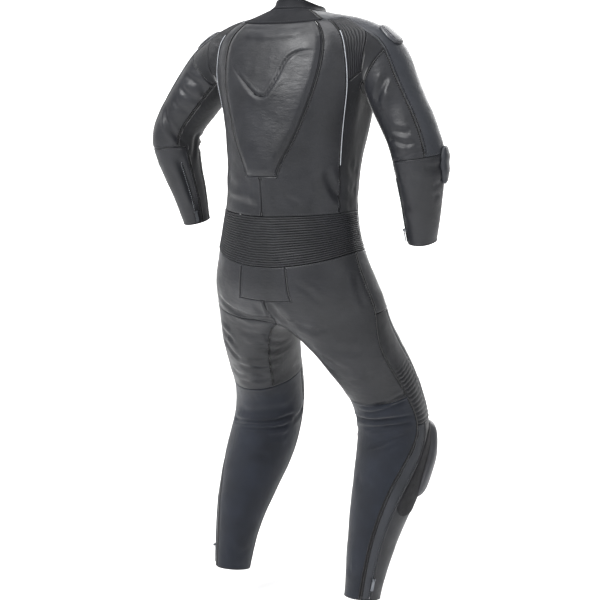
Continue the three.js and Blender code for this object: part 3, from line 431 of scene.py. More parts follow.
    ("sleeve", RIGHT, 6, 2.4, [(1.5, 6.36), (.6, 6.26), (-.4, 6.3)]),
    ("sleeve", RIGHT, 7, 3.6, [(4.9, 2.42), (4.2, 2.26), (3.4, 2.06), (2.61, 1.86)]),
    ("sleeve", RIGHT, 9, -2.6, [(4.6, 2.9), (3.8, 2.66), (3.0, 2.4)]),
    ("sleeve", RIGHT, 9, 1.8, [(5.0, 5.5), (3.8, 5.7), (2.6, 5.6)]),
    ("sleeve", RIGHT, 9, 1.6, [(5.2, 6.6), (4.0, 6.9), (2.9, 6.8)]),
    # the left sleeve: folds from the shoulder, the curved edge of the elbow pad, long folds of the forearm
    ("sleeve", LEFT, 6, 3.0, [(3.0, 3.1), (3.83, 3.54), (5.09, 4.01), (6.42, 4.7), (7.32, 5.23)]),
    ("sleeve", LEFT, 8, -2.6, [(3.4, 3.6), (4.6, 4.2), (5.9, 4.9)]),
    ("sleeve", LEFT, 7, 2.8, [(3.0, 1.7), (4.0, 1.58), (5.0, 1.5), (5.92, 1.6)]),
    ("sleeve", LEFT, 7, 3.0, [(3.1, 2.14), (4.3, 2.2), (5.4, 2.2), (6.49, 2.13)]),
    ("sleeve", LEFT, 9, -2.4, [(3.6, 1.92), (4.8, 1.86), (5.9, 1.88)]),
    ("sleeve", LEFT, 7, 2.2, [(3.4, 2.66), (4.6, 2.84), (5.8, 2.8)]),
    ("sleeve", LEFT, 7, 3.0, [(8.0, 3.9), (8.1, 4.6), (8.0, 5.2), (7.3, 5.88)]),
    ("sleeve", LEFT, 8, 2.4, [(5.7, 5.3), (6.0, 6.1), (6.1, 6.9), (6.0, 7.3)]),
    ("sleeve", LEFT, 9, -2.0, [(4.8, 5.4), (5.1, 6.2), (5.2, 7.0)]),
    ("sleeve", LEFT, 6, 2.6, [(2.2, 5.4), (1.0, 5.5), (-.3, 5.5)]),
    ("sleeve", LEFT, 6, 2.4, [(1.9, 6.1), (.9, 6.05), (-.4, 6.0)]),
    ("sleeve", LEFT, 6, 2.2, [(1.4, 6.5), (.3, 6.45), (-.6, 6.4)]),
    # inside of the elbows and the arms' front
    ("sleeve", RIGHT, 6, 3.4, [(6.6, 4.6), (8.2, 4.75), (9.8, 4.6)]),
    ("sleeve", RIGHT, 6, 3.0, [(6.8, 5.2), (8.4, 5.25), (10.2, 5.0)]),
    ("sleeve", LEFT, 6, 3.2, [(8.9, 4.5), (9.9, 4.6), (11.0, 4.4)]),
    ("sleeve", LEFT, 6, 2.8, [(8.8, 5.2), (10.0, 5.2), (11.4, 4.9)]),
    ("sleeve", RIGHT, 8, 2.2, [(10.4, 2.6), (11.6, 2.9), (12.8, 2.7)]),
    ("sleeve", LEFT, 8, 2.2, [(10.2, 2.4), (11.5, 2.8), (12.7, 2.8)]),
    ("sleeve", RIGHT, 7, 2.0, [(10.3, 3.8), (11.7, 4.0), (12.9, 3.8)]),
    ("sleeve", LEFT, 7, 2.0, [(10.4, 3.6), (11.6, 3.9), (12.9, 3.9)]),
]
FOLD_STEPS = 36
FOLD_FADE = 0.22
SHOULDER_OF_FOLD = dict(at=1.9, wide=0.85, share=0.42)
SWELLS = [(70, 1.5), (26, 0.55)]


def smooth(x):
    x = np.clip(x, 0, 1)
    return x * x * (3 - 2 * x)


def vertex_normals(points, quads):
    corners = points[quads]
    face = np.cross(corners[:, 2] - corners[:, 0], corners[:, 3] - corners[:, 1])
    total = np.zeros_like(points)
    for corner in range(4):
        for axis in range(3):
            total[:, axis] += np.bincount(quads[:, corner], face[:, axis], len(points))
    return total / np.maximum(np.linalg.norm(total, axis=1, keepdims=True), 1e-12)


def curve_at(path, t):
    """A smooth line through the path's rows of values, at the places t counted in rows."""
    path = np.array(path, float)
    knots = np.vstack([2 * path[0] - path[1], path, 2 * path[-1] - path[-2]])
    k = np.minimum(t.astype(int), len(path) - 2)
    f = (t - k)[:, None]
    a, b, c, d = (knots[k + step] for step in range(4))
    square = 2 * a - 5 * b + 4 * c - d
    cube = 3 * b - a - 3 * c + d
    return (2 * b + (c - a) * f + square * f ** 2 + cube * f ** 3) / 2


def curve_through(path, steps):
    """A smooth line through the path's places, as (steps, 2)."""
    return curve_at(path, np.linspace(0, len(path) - 1, steps))


class Surface:
    """The suit's outer surface, found by part, side, column and row."""

    def __init__(self):
        points, quads, places, self.owners = make_cage()
        points *= MM
        owner = np.arange(len(quads))
        for level in range(LEVELS):
            self.coarse = quads, places, owner
            points, quads, places, owner = subdivide(points, quads, places, owner)
            if level < LEVELS - 1:
                self.coarse = quads, places, owner
        self.fine = quads, places, owner
        self.points = points
        self.normals = vertex_normals(points, quads)
        self.panel_of = np.array([name for name, part, side in self.owners])
        keys = [(part, 0 if part == "torso" else side) for name, part, side in self.owners]
        sides = np.array([side for name, part, side in self.owners])
        self.grids = {}
        marks = np.rint(places * CELLS).astype(int)
        for part, side in sorted(set(keys)):
            mine = np.array([key == (part, side) for key in keys])[owner]
            marked, corners = marks[mine], quads[mine]
            columns = marked[..., 0]
            if part == "torso":
                columns = columns * np.where(sides[owner[mine]] == RIGHT, 1, -1)[:, None] + HALF * CELLS
            wide = (2 * HALF if part == "torso" else AROUND) * CELLS + 1
            grid = np.full((wide, marked[..., 1].max() + 1), -1)
            grid[columns, marked[..., 1]] = corners
            self.grids[part, side] = grid

    def look(self, part, side, columns, rows):
        grid = self.grids[part, side]
        columns, rows = np.broadcast_arrays(np.asarray(columns, float), np.asarray(rows, float))
        columns = columns + HALF if part == "torso" else columns % AROUND
        c = np.clip(columns * CELLS, 0, grid.shape[0] - 1.0001)
        r = np.clip(rows * CELLS, 0, grid.shape[1] - 1.0001)
        i, j = c.astype(int), r.astype(int)
        u, v = (c - i)[..., None], (r - j)[..., None]
        corners = [(grid[i, j], (1 - u) * (1 - v)), (grid[i + 1, j], u * (1 - v)),
                   (grid[i, j + 1], (1 - u) * v), (grid[i + 1, j + 1], u * v)]
        point = sum(self.points[k] * share for k, share in corners)
        normal = sum(self.normals[k] * share for k, share in corners)
        return point, normal / np.maximum(np.linalg.norm(normal, axis=-1, keepdims=True), 1e-12)

    def fold(self):
        rise = np.zeros(len(self.points))
        for part, side, width, depth, path in FOLDS:
            line, out = self.look(part, side, *curve_through(path, FOLD_STEPS).T)
            width, depth = width * MM, depth * MM
            reach = 4 * width
            near = np.all((self.points > line.min(0) - reach) & (self.points < line.max(0) + reach), axis=1)
            near = np.flatnonzero(near)
            start, step = line[:-1], np.diff(line, axis=0)
            away = self.points[near][:, None] - start
            share = np.clip((away * step).sum(-1) / np.maximum((step * step).sum(-1), 1e-12), 0, 1)
            gap = np.linalg.norm(away - share[..., None] * step, axis=-1)
            nearest = gap.argmin(1)
            gap = gap[np.arange(len(near)), nearest] / width
            along = (nearest + share[np.arange(len(near)), nearest]) / (FOLD_STEPS - 1)
            fade = smooth(along / FOLD_FADE) * smooth((1 - along) / FOLD_FADE)
            turned = (self.normals[near] * out[nearest]).sum(1) > 0.2
            edge = np.exp(-((gap - SHOULDER_OF_FOLD["at"]) / SHOULDER_OF_FOLD["wide"]) ** 2)
            form = SHOULDER_OF_FOLD["share"] * edge * (depth > 0) - np.exp(-gap ** 2)
            rise[near] += depth * form * fade * turned
        for size, height in SWELLS:
            scale = 1 / (size * MM)
            rise += height * MM * np.array(
                [noise.noise(Vector(point) * scale) for point in self.points.tolist()])
        self.points += self.normals * rise[:, None]
        self.normals = vertex_normals(self.points, self.fine[0])


suit = Surface()
suit.fold()


# Materials

def hex_colour(code):
    """An sRGB hex value as linear red, green, blue and alpha."""
    values = [int(code[k:k + 2], 16) / 255 for k in (1, 3, 5)]
    return (*(v / 12.92 if v <= 0.04045 else ((v + 0.055) / 1.055) ** 2.4 for v in values), 1)


def add(tree, kind, settings=(), inputs=()):
    """Adds a node. Each input is a plain value or another node's output."""
    node = tree.nodes.new(kind)
    for name, value in dict(settings).items():
        setattr(node, name, value)
    for name, value in dict(inputs).items():
        socket = node.inputs[name]
        if isinstance(value, bpy.types.NodeSocket):
            tree.links.new(value, socket)
        else:
            socket.default_value = value
    return node


def begin(name):
    """A new material's tree, its shader, and the place on the piece in metres."""
    material = bpy.data.materials.new(name)
    material.use_nodes = True
    tree = material.node_tree
    tree.nodes.clear()
    shader = add(tree, "ShaderNodeBsdfPrincipled")
    add(tree, "ShaderNodeOutputMaterial", inputs={"Surface": shader.outputs[0]})
    return material, tree, shader, add(tree, "ShaderNodeTexCoord").outputs["Object"]


def spread(tree, value, low, high, where=(0.3, 0.7)):
    """A pattern's value, from where to where, turned into low to high."""
    return add(tree, "ShaderNodeMapRange", inputs={
        "Value": value, "From Min": where[0], "From Max": where[1], "To Min": low, "To Max": high}).outputs[0]


def cloudy(tree, place, size, detail=3):
    return add(tree, "ShaderNodeTexNoise", inputs={
        "Vector": place, "Scale": 1 / (size * MM), "Detail": detail}).outputs[0]


def blend_colours(tree, share, first, second):
    mix = add(tree, "ShaderNodeMix", {"data_type": "RGBA"},
              {0: share, 6: hex_colour(first), 7: hex_colour(second)})
    return mix.outputs[2]


def raised(tree, heights):
    """Bumps in millimetres, laid one on the other."""
    normal = None
    for height, depth in heights:
        inputs = {"Height": height, "Distance": depth * MM, "Strength": 1.0}
        if normal:
            inputs["Normal"] = normal
        normal = add(tree, "ShaderNodeBump", inputs=inputs).outputs[0]
    return normal


def leather(name, dark, light, gloss, shine=0.3, wrinkle=0.7):
    """Drummed cowhide: pebbles of 2 mm drawn a little coarse, soft wrinkles and shinier high spots."""
    material, tree, shader, place = begin(name)
    pebbles = add(tree, "ShaderNodeTexVoronoi", {"feature": "SMOOTH_F1"}, {
        "Vector": place, "Scale": 1 / (2.1 * MM), "Smoothness": 0.6}).outputs["Distance"]
    stretched = add(tree, "ShaderNodeMapping", inputs={"Vector": place, "Scale": (1, 1, 2.6)}).outputs[0]
    wrinkles = cloudy(tree, stretched, 17, 5)
    patches = cloudy(tree, place, 90)
    rubbed = cloudy(tree, place, 28, 4)
    tree.links.new(blend_colours(tree, spread(tree, patches, 0, 1), dark, light), shader.inputs["Base Color"])
    tree.links.new(spread(tree, rubbed, gloss + 0.1, gloss - 0.06), shader.inputs["Roughness"])
    tree.links.new(raised(tree, [(wrinkles, wrinkle), (pebbles, 0.16)]), shader.inputs["Normal"])
    shader.inputs["Specular IOR Level"].default_value = shine
    return material


def woven(name, dark, light, thread, roughness, sheen):
    """Knitted or woven stretch cloth: crossing threads, drawn coarser than real so that they show."""
    material, tree, shader, place = begin(name)
    turned = add(tree, "ShaderNodeMapping",
                 inputs={"Vector": place, "Rotation": (0.3, 0.5, radians(28))}).outputs[0]
    sets = [add(tree, "ShaderNodeTexWave", {"bands_direction": direction}, {
        "Vector": turned, "Scale": 0.314 / (thread * MM), "Distortion": 0.6, "Detail": 1.0}).outputs["Fac"]
        for direction in ("Z", "X")]
    crossing = add(tree, "ShaderNodeMath", {"operation": "MAXIMUM"}, {0: sets[0], 1: sets[1]}).outputs[0]
    patches = cloudy(tree, place, 60)
    creases = cloudy(tree, place, 24, 4)
    tree.links.new(blend_colours(tree, spread(tree, patches, 0, 1), dark, light), shader.inputs["Base Color"])
    tree.links.new(raised(tree, [(creases, 1.0), (crossing, 0.18)]), shader.inputs["Normal"])
    tree.links.new(spread(tree, crossing, roughness + 0.06, roughness - 0.05, (0, 1)),
                   shader.inputs["Roughness"])
    shader.inputs["Sheen Weight"].default_value = sheen
    shader.inputs["Sheen Roughness"].default_value = 0.5
    shader.inputs["Specular IOR Level"].default_value = 0.15
    return material


def hooked_pile():
    """Nylon loop pile: deep black, tufts of about 1.5 mm, no gloss."""
    material, tree, shader, place = begin("loop_pile")
    tufts = add(tree, "ShaderNodeTexVoronoi",
                inputs={"Vector": place, "Scale": 1 / (1.6 * MM)}).outputs["Distance"]
    flattened = cloudy(tree, place, 12, 3)
    tree.links.new(blend_colours(tree, flattened, "#08080a", "#16161a"), shader.inputs["Base Color"])
    tree.links.new(raised(tree, [(flattened, 0.6), (tufts, 0.7)]), shader.inputs["Normal"])
    tree.links.new(spread(tree, flattened, 0.98, 0.9), shader.inputs["Roughness"])
    return material


def moulded(name, dark, light, gloss):
    """Injection-moulded polyurethane: fine spark texture, faint flow patches, satin."""
    material, tree, shader, place = begin(name)
    grit = cloudy(tree, place, 0.9, 2)
    flow = cloudy(tree, place, 40, 2)
    tree.links.new(blend_colours(tree, spread(tree, flow, 0, 1), dark, light), shader.inputs["Base Color"])
    tree.links.new(spread(tree, flow, gloss + 0.07, gloss - 0.05), shader.inputs["Roughness"])
    tree.links.new(raised(tree, [(grit, 0.06)]), shader.inputs["Normal"])
    return material


def dark_nickel():
    """Zinc casting plated in dark nickel: brushed along its length, brighter where fingers rub it."""
    material, tree, shader, place = begin("dark_nickel")
    brushed = add(tree, "ShaderNodeMapping", inputs={"Vector": place, "Scale": (8, 8, 1)}).outputs[0]
    lines = cloudy(tree, brushed, 3, 3)
    handled = cloudy(tree, place, 9, 2)
    tree.links.new(blend_colours(tree, handled, "#44474b", "#7a7d82"), shader.inputs["Base Color"])
    tree.links.new(spread(tree, lines, 0.4, 0.26), shader.inputs["Roughness"])
    tree.links.new(raised(tree, [(lines, 0.04)]), shader.inputs["Normal"])
    shader.inputs["Metallic"].default_value = 1.0
    return material


def twisted(name, dark, light):
    """Bonded polyester thread or corded piping: a fine twist, slight wax gloss."""
    material, tree, shader, place = begin(name)
    twist = cloudy(tree, place, 0.8, 2)
    tree.links.new(blend_colours(tree, twist, dark, light), shader.inputs["Base Color"])
    tree.links.new(raised(tree, [(twist, 0.1)]), shader.inputs["Normal"])
    tree.links.new(spread(tree, twist, 0.6, 0.48), shader.inputs["Roughness"])
    return material


MATERIALS = {
    "leather": leather("black_cowhide", "#17181b", "#1f2024", 0.42),
    "grey_leather": leather("grey_cowhide", "#25272b", "#2d2f34", 0.48, 0.25),
    "matte_leather": leather("matte_nappa", "#0d0e11", "#131418", 0.62, 0.12),
    "stretch": woven("stretch_weave", "#0f1013", "#17181c", 1.7, 0.84, 0.25),
    "ribbed": leather("ribbed_stretch_leather", "#101114", "#16171b", 0.5, 0.3, 0.3),
    "textile": woven("navy_stretch_textile", "#12151c", "#191d26", 1.5, 0.72, 0.2),
    "hook": hooked_pile(),
    "plastic": moulded("satin_polyurethane", "#17181a", "#202124", 0.38),
    "grey_plastic": moulded("grey_polyurethane", "#28292d", "#313237", 0.42),
    "metal": dark_nickel(),
    "lining": woven("mesh_lining", "#0b0c0e", "#131417", 2.2, 0.9, 0.1),
    "thread": twisted("bonded_thread", "#26272b", "#34363b"),
    "piping": twisted("light_piping", "#8d9096", "#a4a7ad"),
    "binding": woven("edge_binding", "#101114", "#1a1b1f", 1.2, 0.8, 0.2),
}


# Pieces

def slot_of(node):
    if "zip" in node and node.endswith(("_slider", "_pull")):
        return "metal"
    if node.startswith(("shoulder_plate", "knee_slider")):
        return "plastic"
    if node.startswith("hook_patch"):
        return "hook"
    if "accordion" in node:
        return "ribbed"
    if node.startswith(("side_stretch", "inner_leg", "sleeve_inner")):
        return "stretch"
    if node.startswith("calf_back") or node == "front_zip_tape":
        return "textile"
    if node.startswith(("shoulder_panel", "calf_strip", "elbow_slider")):
        return "grey_leather"
    return "leather"


def new_piece(name, points, faces, materials, shade=True):
    mesh = bpy.data.meshes.new(name)
    mesh.from_pydata([tuple(p) for p in np.asarray(points).tolist()], [], [tuple(f) for f in faces])
    for material in materials:
        mesh.materials.append(MATERIALS[material])
    if shade:
        mesh.shade_smooth()
    mesh.update()
    piece = bpy.data.objects.new(name, mesh)
    bpy.context.collection.objects.link(piece)
    return piece


def ridden(piece, body="suit", replaces=()):
    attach(piece, body)
    if replaces:
        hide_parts(*replaces)
    return piece


WALL = 1.4 * MM
SEAM_LOOPS = [(0.15, 1.7), (0.7, 0.75), (1.9, 0.15), (3.6, 0.0)]
FINE_PANELS = ("back_centre", "back_side", "seat", "thigh_back", "calf_back", "sleeve_back")
STITCH_INSET = 4.6 * MM
stitch_lines = []


def rim_of(quads):
    """The panel's open edges, as corner pairs in the panel's own turning."""
    edges = np.stack([quads, np.roll(quads, -1, 1)], -1).reshape(-1, 2)
    seen = {(b, a) for a, b in edges.tolist()}
    return np.array([edge for edge in edges.tolist() if tuple(edge) not in seen])


def cut_of(points, quads, places, owner):
    """The panel's width, length and area laid flat, in metres, measured along its columns and rows."""
    corners = points[quads]
    marks = places
    area = np.linalg.norm(
        np.cross(corners[:, 2] - corners[:, 0], corners[:, 3] - corners[:, 1]), axis=1).sum() / 2
    step = marks[:, 1] - marks[:, 0]
    first_is_row = abs(step[:, 1]) > abs(step[:, 0])
    sides = np.linalg.norm(np.roll(corners, -1, 1) - corners, axis=-1)
    odd, even = (sides[:, 1] + sides[:, 3]) / 2, (sides[:, 0] + sides[:, 2]) / 2
    across, down = np.where(first_is_row, odd, even), np.where(first_is_row, even, odd)
    middle = marks.mean(1)
    part = np.array([suit.owners[k][1] for k in owner])
    side = np.array([suit.owners[k][2] for k in owner])
    width, length = 0, 0
    for name in sorted(set(part)):
        mine = part == name
        row = np.rint(middle[mine, 1] * 4 * CELLS).astype(int)
        column = middle[mine, 0] * side[mine] if name == "torso" else middle[mine, 0]
        column = np.rint(column * 4 * CELLS).astype(int)
        width = max(width, np.bincount(row - row.min(), across[mine]).max())
        length += np.bincount(column - column.min(), down[mine]).max()
    return width, length, area


def declare_cloth(width, length, area):
    area = min(area, width * length)
    length = min(length, area / (0.31 * width))


def thicken(piece, wall=WALL):
    solid = piece.modifiers.new("wall", "SOLIDIFY")
    solid.thickness = wall
    solid.offset = -1
    solid.material_offset = 1
    return piece


def inset_directions(points, normals, rim, count):
    """For each corner of the rim, the way into the panel, and the corner's stretch."""
    along = points[rim[:, 1]] - points[rim[:, 0]]
    inward = np.cross(normals[rim[:, 0]] + normals[rim[:, 1]], along)
    inward /= np.maximum(np.linalg.norm(inward, axis=1, keepdims=True), 1e-12)
    total = np.zeros((count, 3))
    for end in range(2):
        np.add.at(total, rim[:, end], inward)
    length = np.linalg.norm(total, axis=1, keepdims=True)
    return total / np.maximum(length * length / 2, 0.5)


def panel(node, *others):
    """A sewn panel: its part of the surface, pulled down to the seam all round, lined on its inner side."""
    fine = node.startswith(FINE_PANELS)
    quads, places, owner = suit.fine if fine else suit.coarse
    mine = np.isin(suit.panel_of[owner], [node, *others])
    quads, places, owner = quads[mine], places[mine], owner[mine]
    width, length, area = cut_of(suit.points, quads, places, owner)
    used, quads = np.unique(quads, return_inverse=True)
    quads = quads.reshape(-1, 4)
    points, normals = suit.points[used].copy(), suit.normals[used]
    rim = rim_of(quads)
    edge = np.unique(rim)
    if node == "back_centre":
        gap = np.full(len(points), 1.0)
        for chunk in np.array_split(edge, max(1, len(edge) // 100)):
            gap = np.minimum(gap, np.linalg.norm(points[:, None] - points[chunk][None], axis=-1).min(1))
        points += normals * (SHIELD["height"] * smooth(gap / SHIELD["slope"]))[:, None]
    inward = inset_directions(points, normals, rim, len(points))
    base = points[edge]
    numbers = np.full(len(points), -1)
    stack = [points]
    loops = []
    for offset, drop in SEAM_LOOPS:
        place = base + inward[edge] * offset * MM - normals[edge] * drop * MM
        if offset == SEAM_LOOPS[-1][0]:
            points[edge] = place
            loops.append(edge)
        else:
            loops.append(sum(len(s) for s in stack) + np.arange(len(edge)))
            stack.append(place)
    numbers[edge] = np.arange(len(edge))
    faces = quads.tolist()
    for outer, inner in zip(loops, loops[1:]):
        a, b = numbers[rim[:, 0]], numbers[rim[:, 1]]
        faces += np.stack([outer[a], outer[b], inner[b], inner[a]], -1).tolist()
    slot = slot_of(node)
    finish = "matte_leather" if node in ("collar", "nape_yoke") else slot
    piece = new_piece(node + "_cloth", np.vstack(stack), faces, [finish, "lining"])
    thicken(piece)
    ridden(piece, replaces=[node, *others])
    declare_cloth(width, length, area)
    if slot in ("leather", "grey_leather"):
        line = points + inward * STITCH_INSET
        line[edge] = base + inward[edge] * STITCH_INSET
        stitch_lines.append((line + normals * 0.25 * MM, normals, rim))
    return piece


SHIELD = dict(height=4.2 * MM, slope=16 * MM)


def sheet_from_grid(name, points, slot, wall, replaces):
    """A lined cloth from a grid of points, columns by rows."""
    wide, long = points.shape[:2]
    index = np.arange(wide * long).reshape(wide, long)
    corners = [index[:-1, :-1], index[:-1, 1:], index[1:, 1:], index[1:, :-1]]
    faces = np.stack(corners, -1).reshape(-1, 4)
    across = np.linalg.norm(np.diff(points, axis=0), axis=-1).sum(0).max()
    down = np.linalg.norm(np.diff(points, axis=1), axis=-1).sum(1).max()
    first = points[:-1, 1:] - points[1:, :-1]
    second = points[1:, 1:] - points[:-1, :-1]
    area = np.linalg.norm(np.cross(first, second), axis=-1).sum() / 2
    piece = new_piece(name, points.reshape(-1, 3), faces.tolist(), [slot, "lining"])
    thicken(piece, wall)
    ridden(piece, replaces=replaces)
    declare_cloth(across, down, area)
    return piece


def looks_in(grid, normal):
    """True when across x down of a grid of points faces against its normals."""
    i, j = grid.shape[0] // 2, grid.shape[1] // 2
    return np.cross(grid[i + 1, j] - grid[i, j], grid[i, j + 1] - grid[i, j]) @ normal[i, j] < 0


def accordion(node, part, side, columns, rows, samples, ribs, depth, upright=False, fading=None):
    """Stretch leather stitched into ribs: round tops, tight valleys, each a little uneven."""
    inset = 0.0035
    u = np.linspace(inset, 1 - inset, samples[0])[:, None]
    v = np.linspace(inset, 1 - inset, samples[1])[None]
    c, r = np.broadcast_arrays(columns[0] + (columns[1] - columns[0]) * u, rows[0] + (rows[1] - rows[0]) * v)
    point, normal = suit.look(part, side, c, r)
    along, across = (v, u) if upright else (u, v)
    wander = 0.1 * np.sin(along * 23 + across * 9) + 0.07 * np.sin(along * 51 + 2)
    phase = across * ribs + wander * np.sin(pi * across)
    swell = abs(np.sin(pi * phase)) ** 0.65
    strength = 1.0 if fading is None else fading(r)
    edge = smooth(np.minimum(np.minimum(u, 1 - u) * samples[0], np.minimum(v, 1 - v) * samples[1]) / 3)
    rise = depth * MM * (swell * strength - 0.45 * strength) - 1.2 * MM * (1 - edge)
    points = point + normal * rise[..., None]
    if not looks_in(points, normal):
        points = points[::-1]
    return sheet_from_grid(node + "_cloth", points, "ribbed", WALL, [node])


def line_on(part, side, path, steps, lift=0.0):
    point, normal = suit.look(part, side, *curve_through(path, steps).T)
    return point + normal * lift * MM, normal


# Pads, patches and the knee sliders, each a closed shell set on the panels

# Rows: middle column, half width in columns, row
OUTLINES = {
    "shoulder_plate": [(0.2, 0.55, 0.12), (0.2, 0.85, 0.4), (0.2, 0.85, 0.8), (0.2, 0.5, 1.08)],
    "elbow_slider": [(-0.9, 0.6, 4.75), (-0.9, 1.15, 5.1), (-0.9, 1.15, 5.6), (-0.9, 0.7, 6.05)],
    "hook_patch": [(8.75, 1.0, 4.12), (8.65, 1.4, 4.6), (8.6, 1.45, 5.4), (8.3, 1.15, 6.1), (7.7, 0.6, 6.8)],
    "knee_slider": [(9, 0.3, 4.14), (9, 0.75, 4.4), (8.95, 0.95, 4.9), (8.85, 0.9, 5.5), (8.7, 0.6, 5.95),
                    (8.6, 0.25, 6.15)],
}
PAD_SAMPLES = (41, 61)


SLIMMEST = 0.02


def pad_shell(name, part, side, outline, height, lift, slot, replaces, finish=None):
    """A closed shell over an outline; height gives the thickness in millimetres from u across and v down."""
    u = np.linspace(0, 1, PAD_SAMPLES[0])[:, None]
    v = np.linspace(0, 1, PAD_SAMPLES[1])
    middle, half, row = curve_at(outline, v * (len(outline) - 1)).T
    half = np.maximum(half, SLIMMEST) * corner_round(v)
    columns = middle[None] + half[None] * (2 * u - 1)
    rows = np.broadcast_to(row[None], columns.shape)
    point, normal = suit.look(part, side, columns, rows)
    grid_v = np.broadcast_to(v[None], columns.shape)
    grid_u = np.broadcast_to(u, columns.shape)
    top = point + normal * ((lift + height(grid_u, grid_v)) * MM)[..., None]
    bottom = point + normal * lift * 0.4 * MM
    if looks_in(top, normal):
        top, bottom = top[::-1], bottom[::-1]
    wide, long = PAD_SAMPLES
    index = np.arange(wide * long).reshape(wide, long)
    over = np.stack([index[:-1, :-1], index[1:, :-1], index[1:, 1:], index[:-1, 1:]], -1).reshape(-1, 4)
    under = over[:, ::-1] + wide * long
    ring = np.concatenate([index[:, 0], index[-1, 1:], index[-2::-1, -1], index[0, -2:0:-1]])
    after = np.roll(ring, -1)
    side_faces = np.stack([ring + wide * long, after + wide * long, after, ring], -1)
    piece = new_piece(name, np.vstack([top.reshape(-1, 3), bottom.reshape(-1, 3)]),
                      np.vstack([over, under, side_faces]).tolist(), [finish or slot])
    ridden(piece, replaces=replaces)
    return piece


def corner_round(v):
    """Rounds an outline's two ends."""
    return np.sqrt(np.clip(1 - np.clip(1 - np.minimum(v, 1 - v) / 0.1, 0, 1) ** 2, 0.06, 1))


def plate_height(u, v):
    edge = np.clip(np.minimum(np.minimum(u, 1 - u) * 5, np.minimum(v, 1 - v) * 6), 0, 1)
    groove = np.exp(-((abs(2 * u - 1) - 0.62) / 0.05) ** 2) * smooth(np.minimum(v, 1 - v) * 5)
    return 0.8 + 4.0 * np.sqrt(1 - (1 - edge) ** 2) - 0.9 * groove


def elbow_height(u, v):
    edge = np.clip(np.minimum(np.minimum(u, 1 - u) * 4, np.minimum(v, 1 - v) * 5), 0, 1)
    steps = 0.7 * np.cos(2 * pi * 3 * v) * smooth(np.minimum(u, 1 - u) * 6)
    return 1.0 + 7.2 * np.sqrt(1 - (1 - edge) ** 2) + steps * edge


def knee_height(u, v):
    across = np.sqrt(np.clip(4 * u * (1 - u), 0, 1))
    along = np.clip(np.sin(pi * v ** 0.6), 0, 1) ** 0.8
    seam = np.exp(-((u - 0.3) / 0.03) ** 2) * smooth(np.minimum(v, 1 - v) * 6)
    return 1.5 + 20.0 * across * along - 1.1 * seam


def patch_height(u, v):
    edge = np.clip(np.minimum(np.minimum(u, 1 - u) * 24, np.minimum(v, 1 - v) * 30), 0, 1)
    return 0.3 + 1.3 * edge


# Lines that follow a path: piping, bindings, stitches, zip teeth

def tree_of(name, inputs):
    """An empty geometry tree with its named inputs, and the way to find each input's identifier."""
    tree = bpy.data.node_groups.new(name, "GeometryNodeTree")
    tree.interface.new_socket("Lines", in_out="INPUT", socket_type="NodeSocketGeometry")
    for label, kind in inputs:
        tree.interface.new_socket(label, in_out="INPUT", socket_type="NodeSocket" + kind)
    tree.interface.new_socket("Piece", in_out="OUTPUT", socket_type="NodeSocketGeometry")
    entry = tree.nodes.new("NodeGroupInput")
    return tree, entry


def finish_tree(tree, entry, geometry):
    realized = add(tree, "GeometryNodeRealizeInstances", inputs={0: geometry}).outputs[0]
    smoothed = add(tree, "GeometryNodeSetShadeSmooth", inputs={"Geometry": realized}).outputs[0]
    painted = add(tree, "GeometryNodeSetMaterial",
                  inputs={"Geometry": smoothed, "Material": entry.outputs["Material"]})
    add(tree, "NodeGroupOutput", inputs={"Piece": painted.outputs[0]})
    return tree


def round_line_tree():
    """A round cord along each line."""
    tree, entry = tree_of("round_line", [("Radius", "Float"), ("Material", "Material")])
    curve = add(tree, "GeometryNodeMeshToCurve", inputs={"Mesh": entry.outputs["Lines"]}).outputs[0]
    ring = add(tree, "GeometryNodeCurvePrimitiveCircle",
               inputs={"Resolution": 8, "Radius": entry.outputs["Radius"]})
    cord = add(tree, "GeometryNodeCurveToMesh", inputs={
        "Curve": curve, "Profile Curve": ring.outputs[0], "Fill Caps": True}).outputs[0]
    return finish_tree(tree, entry, cord)


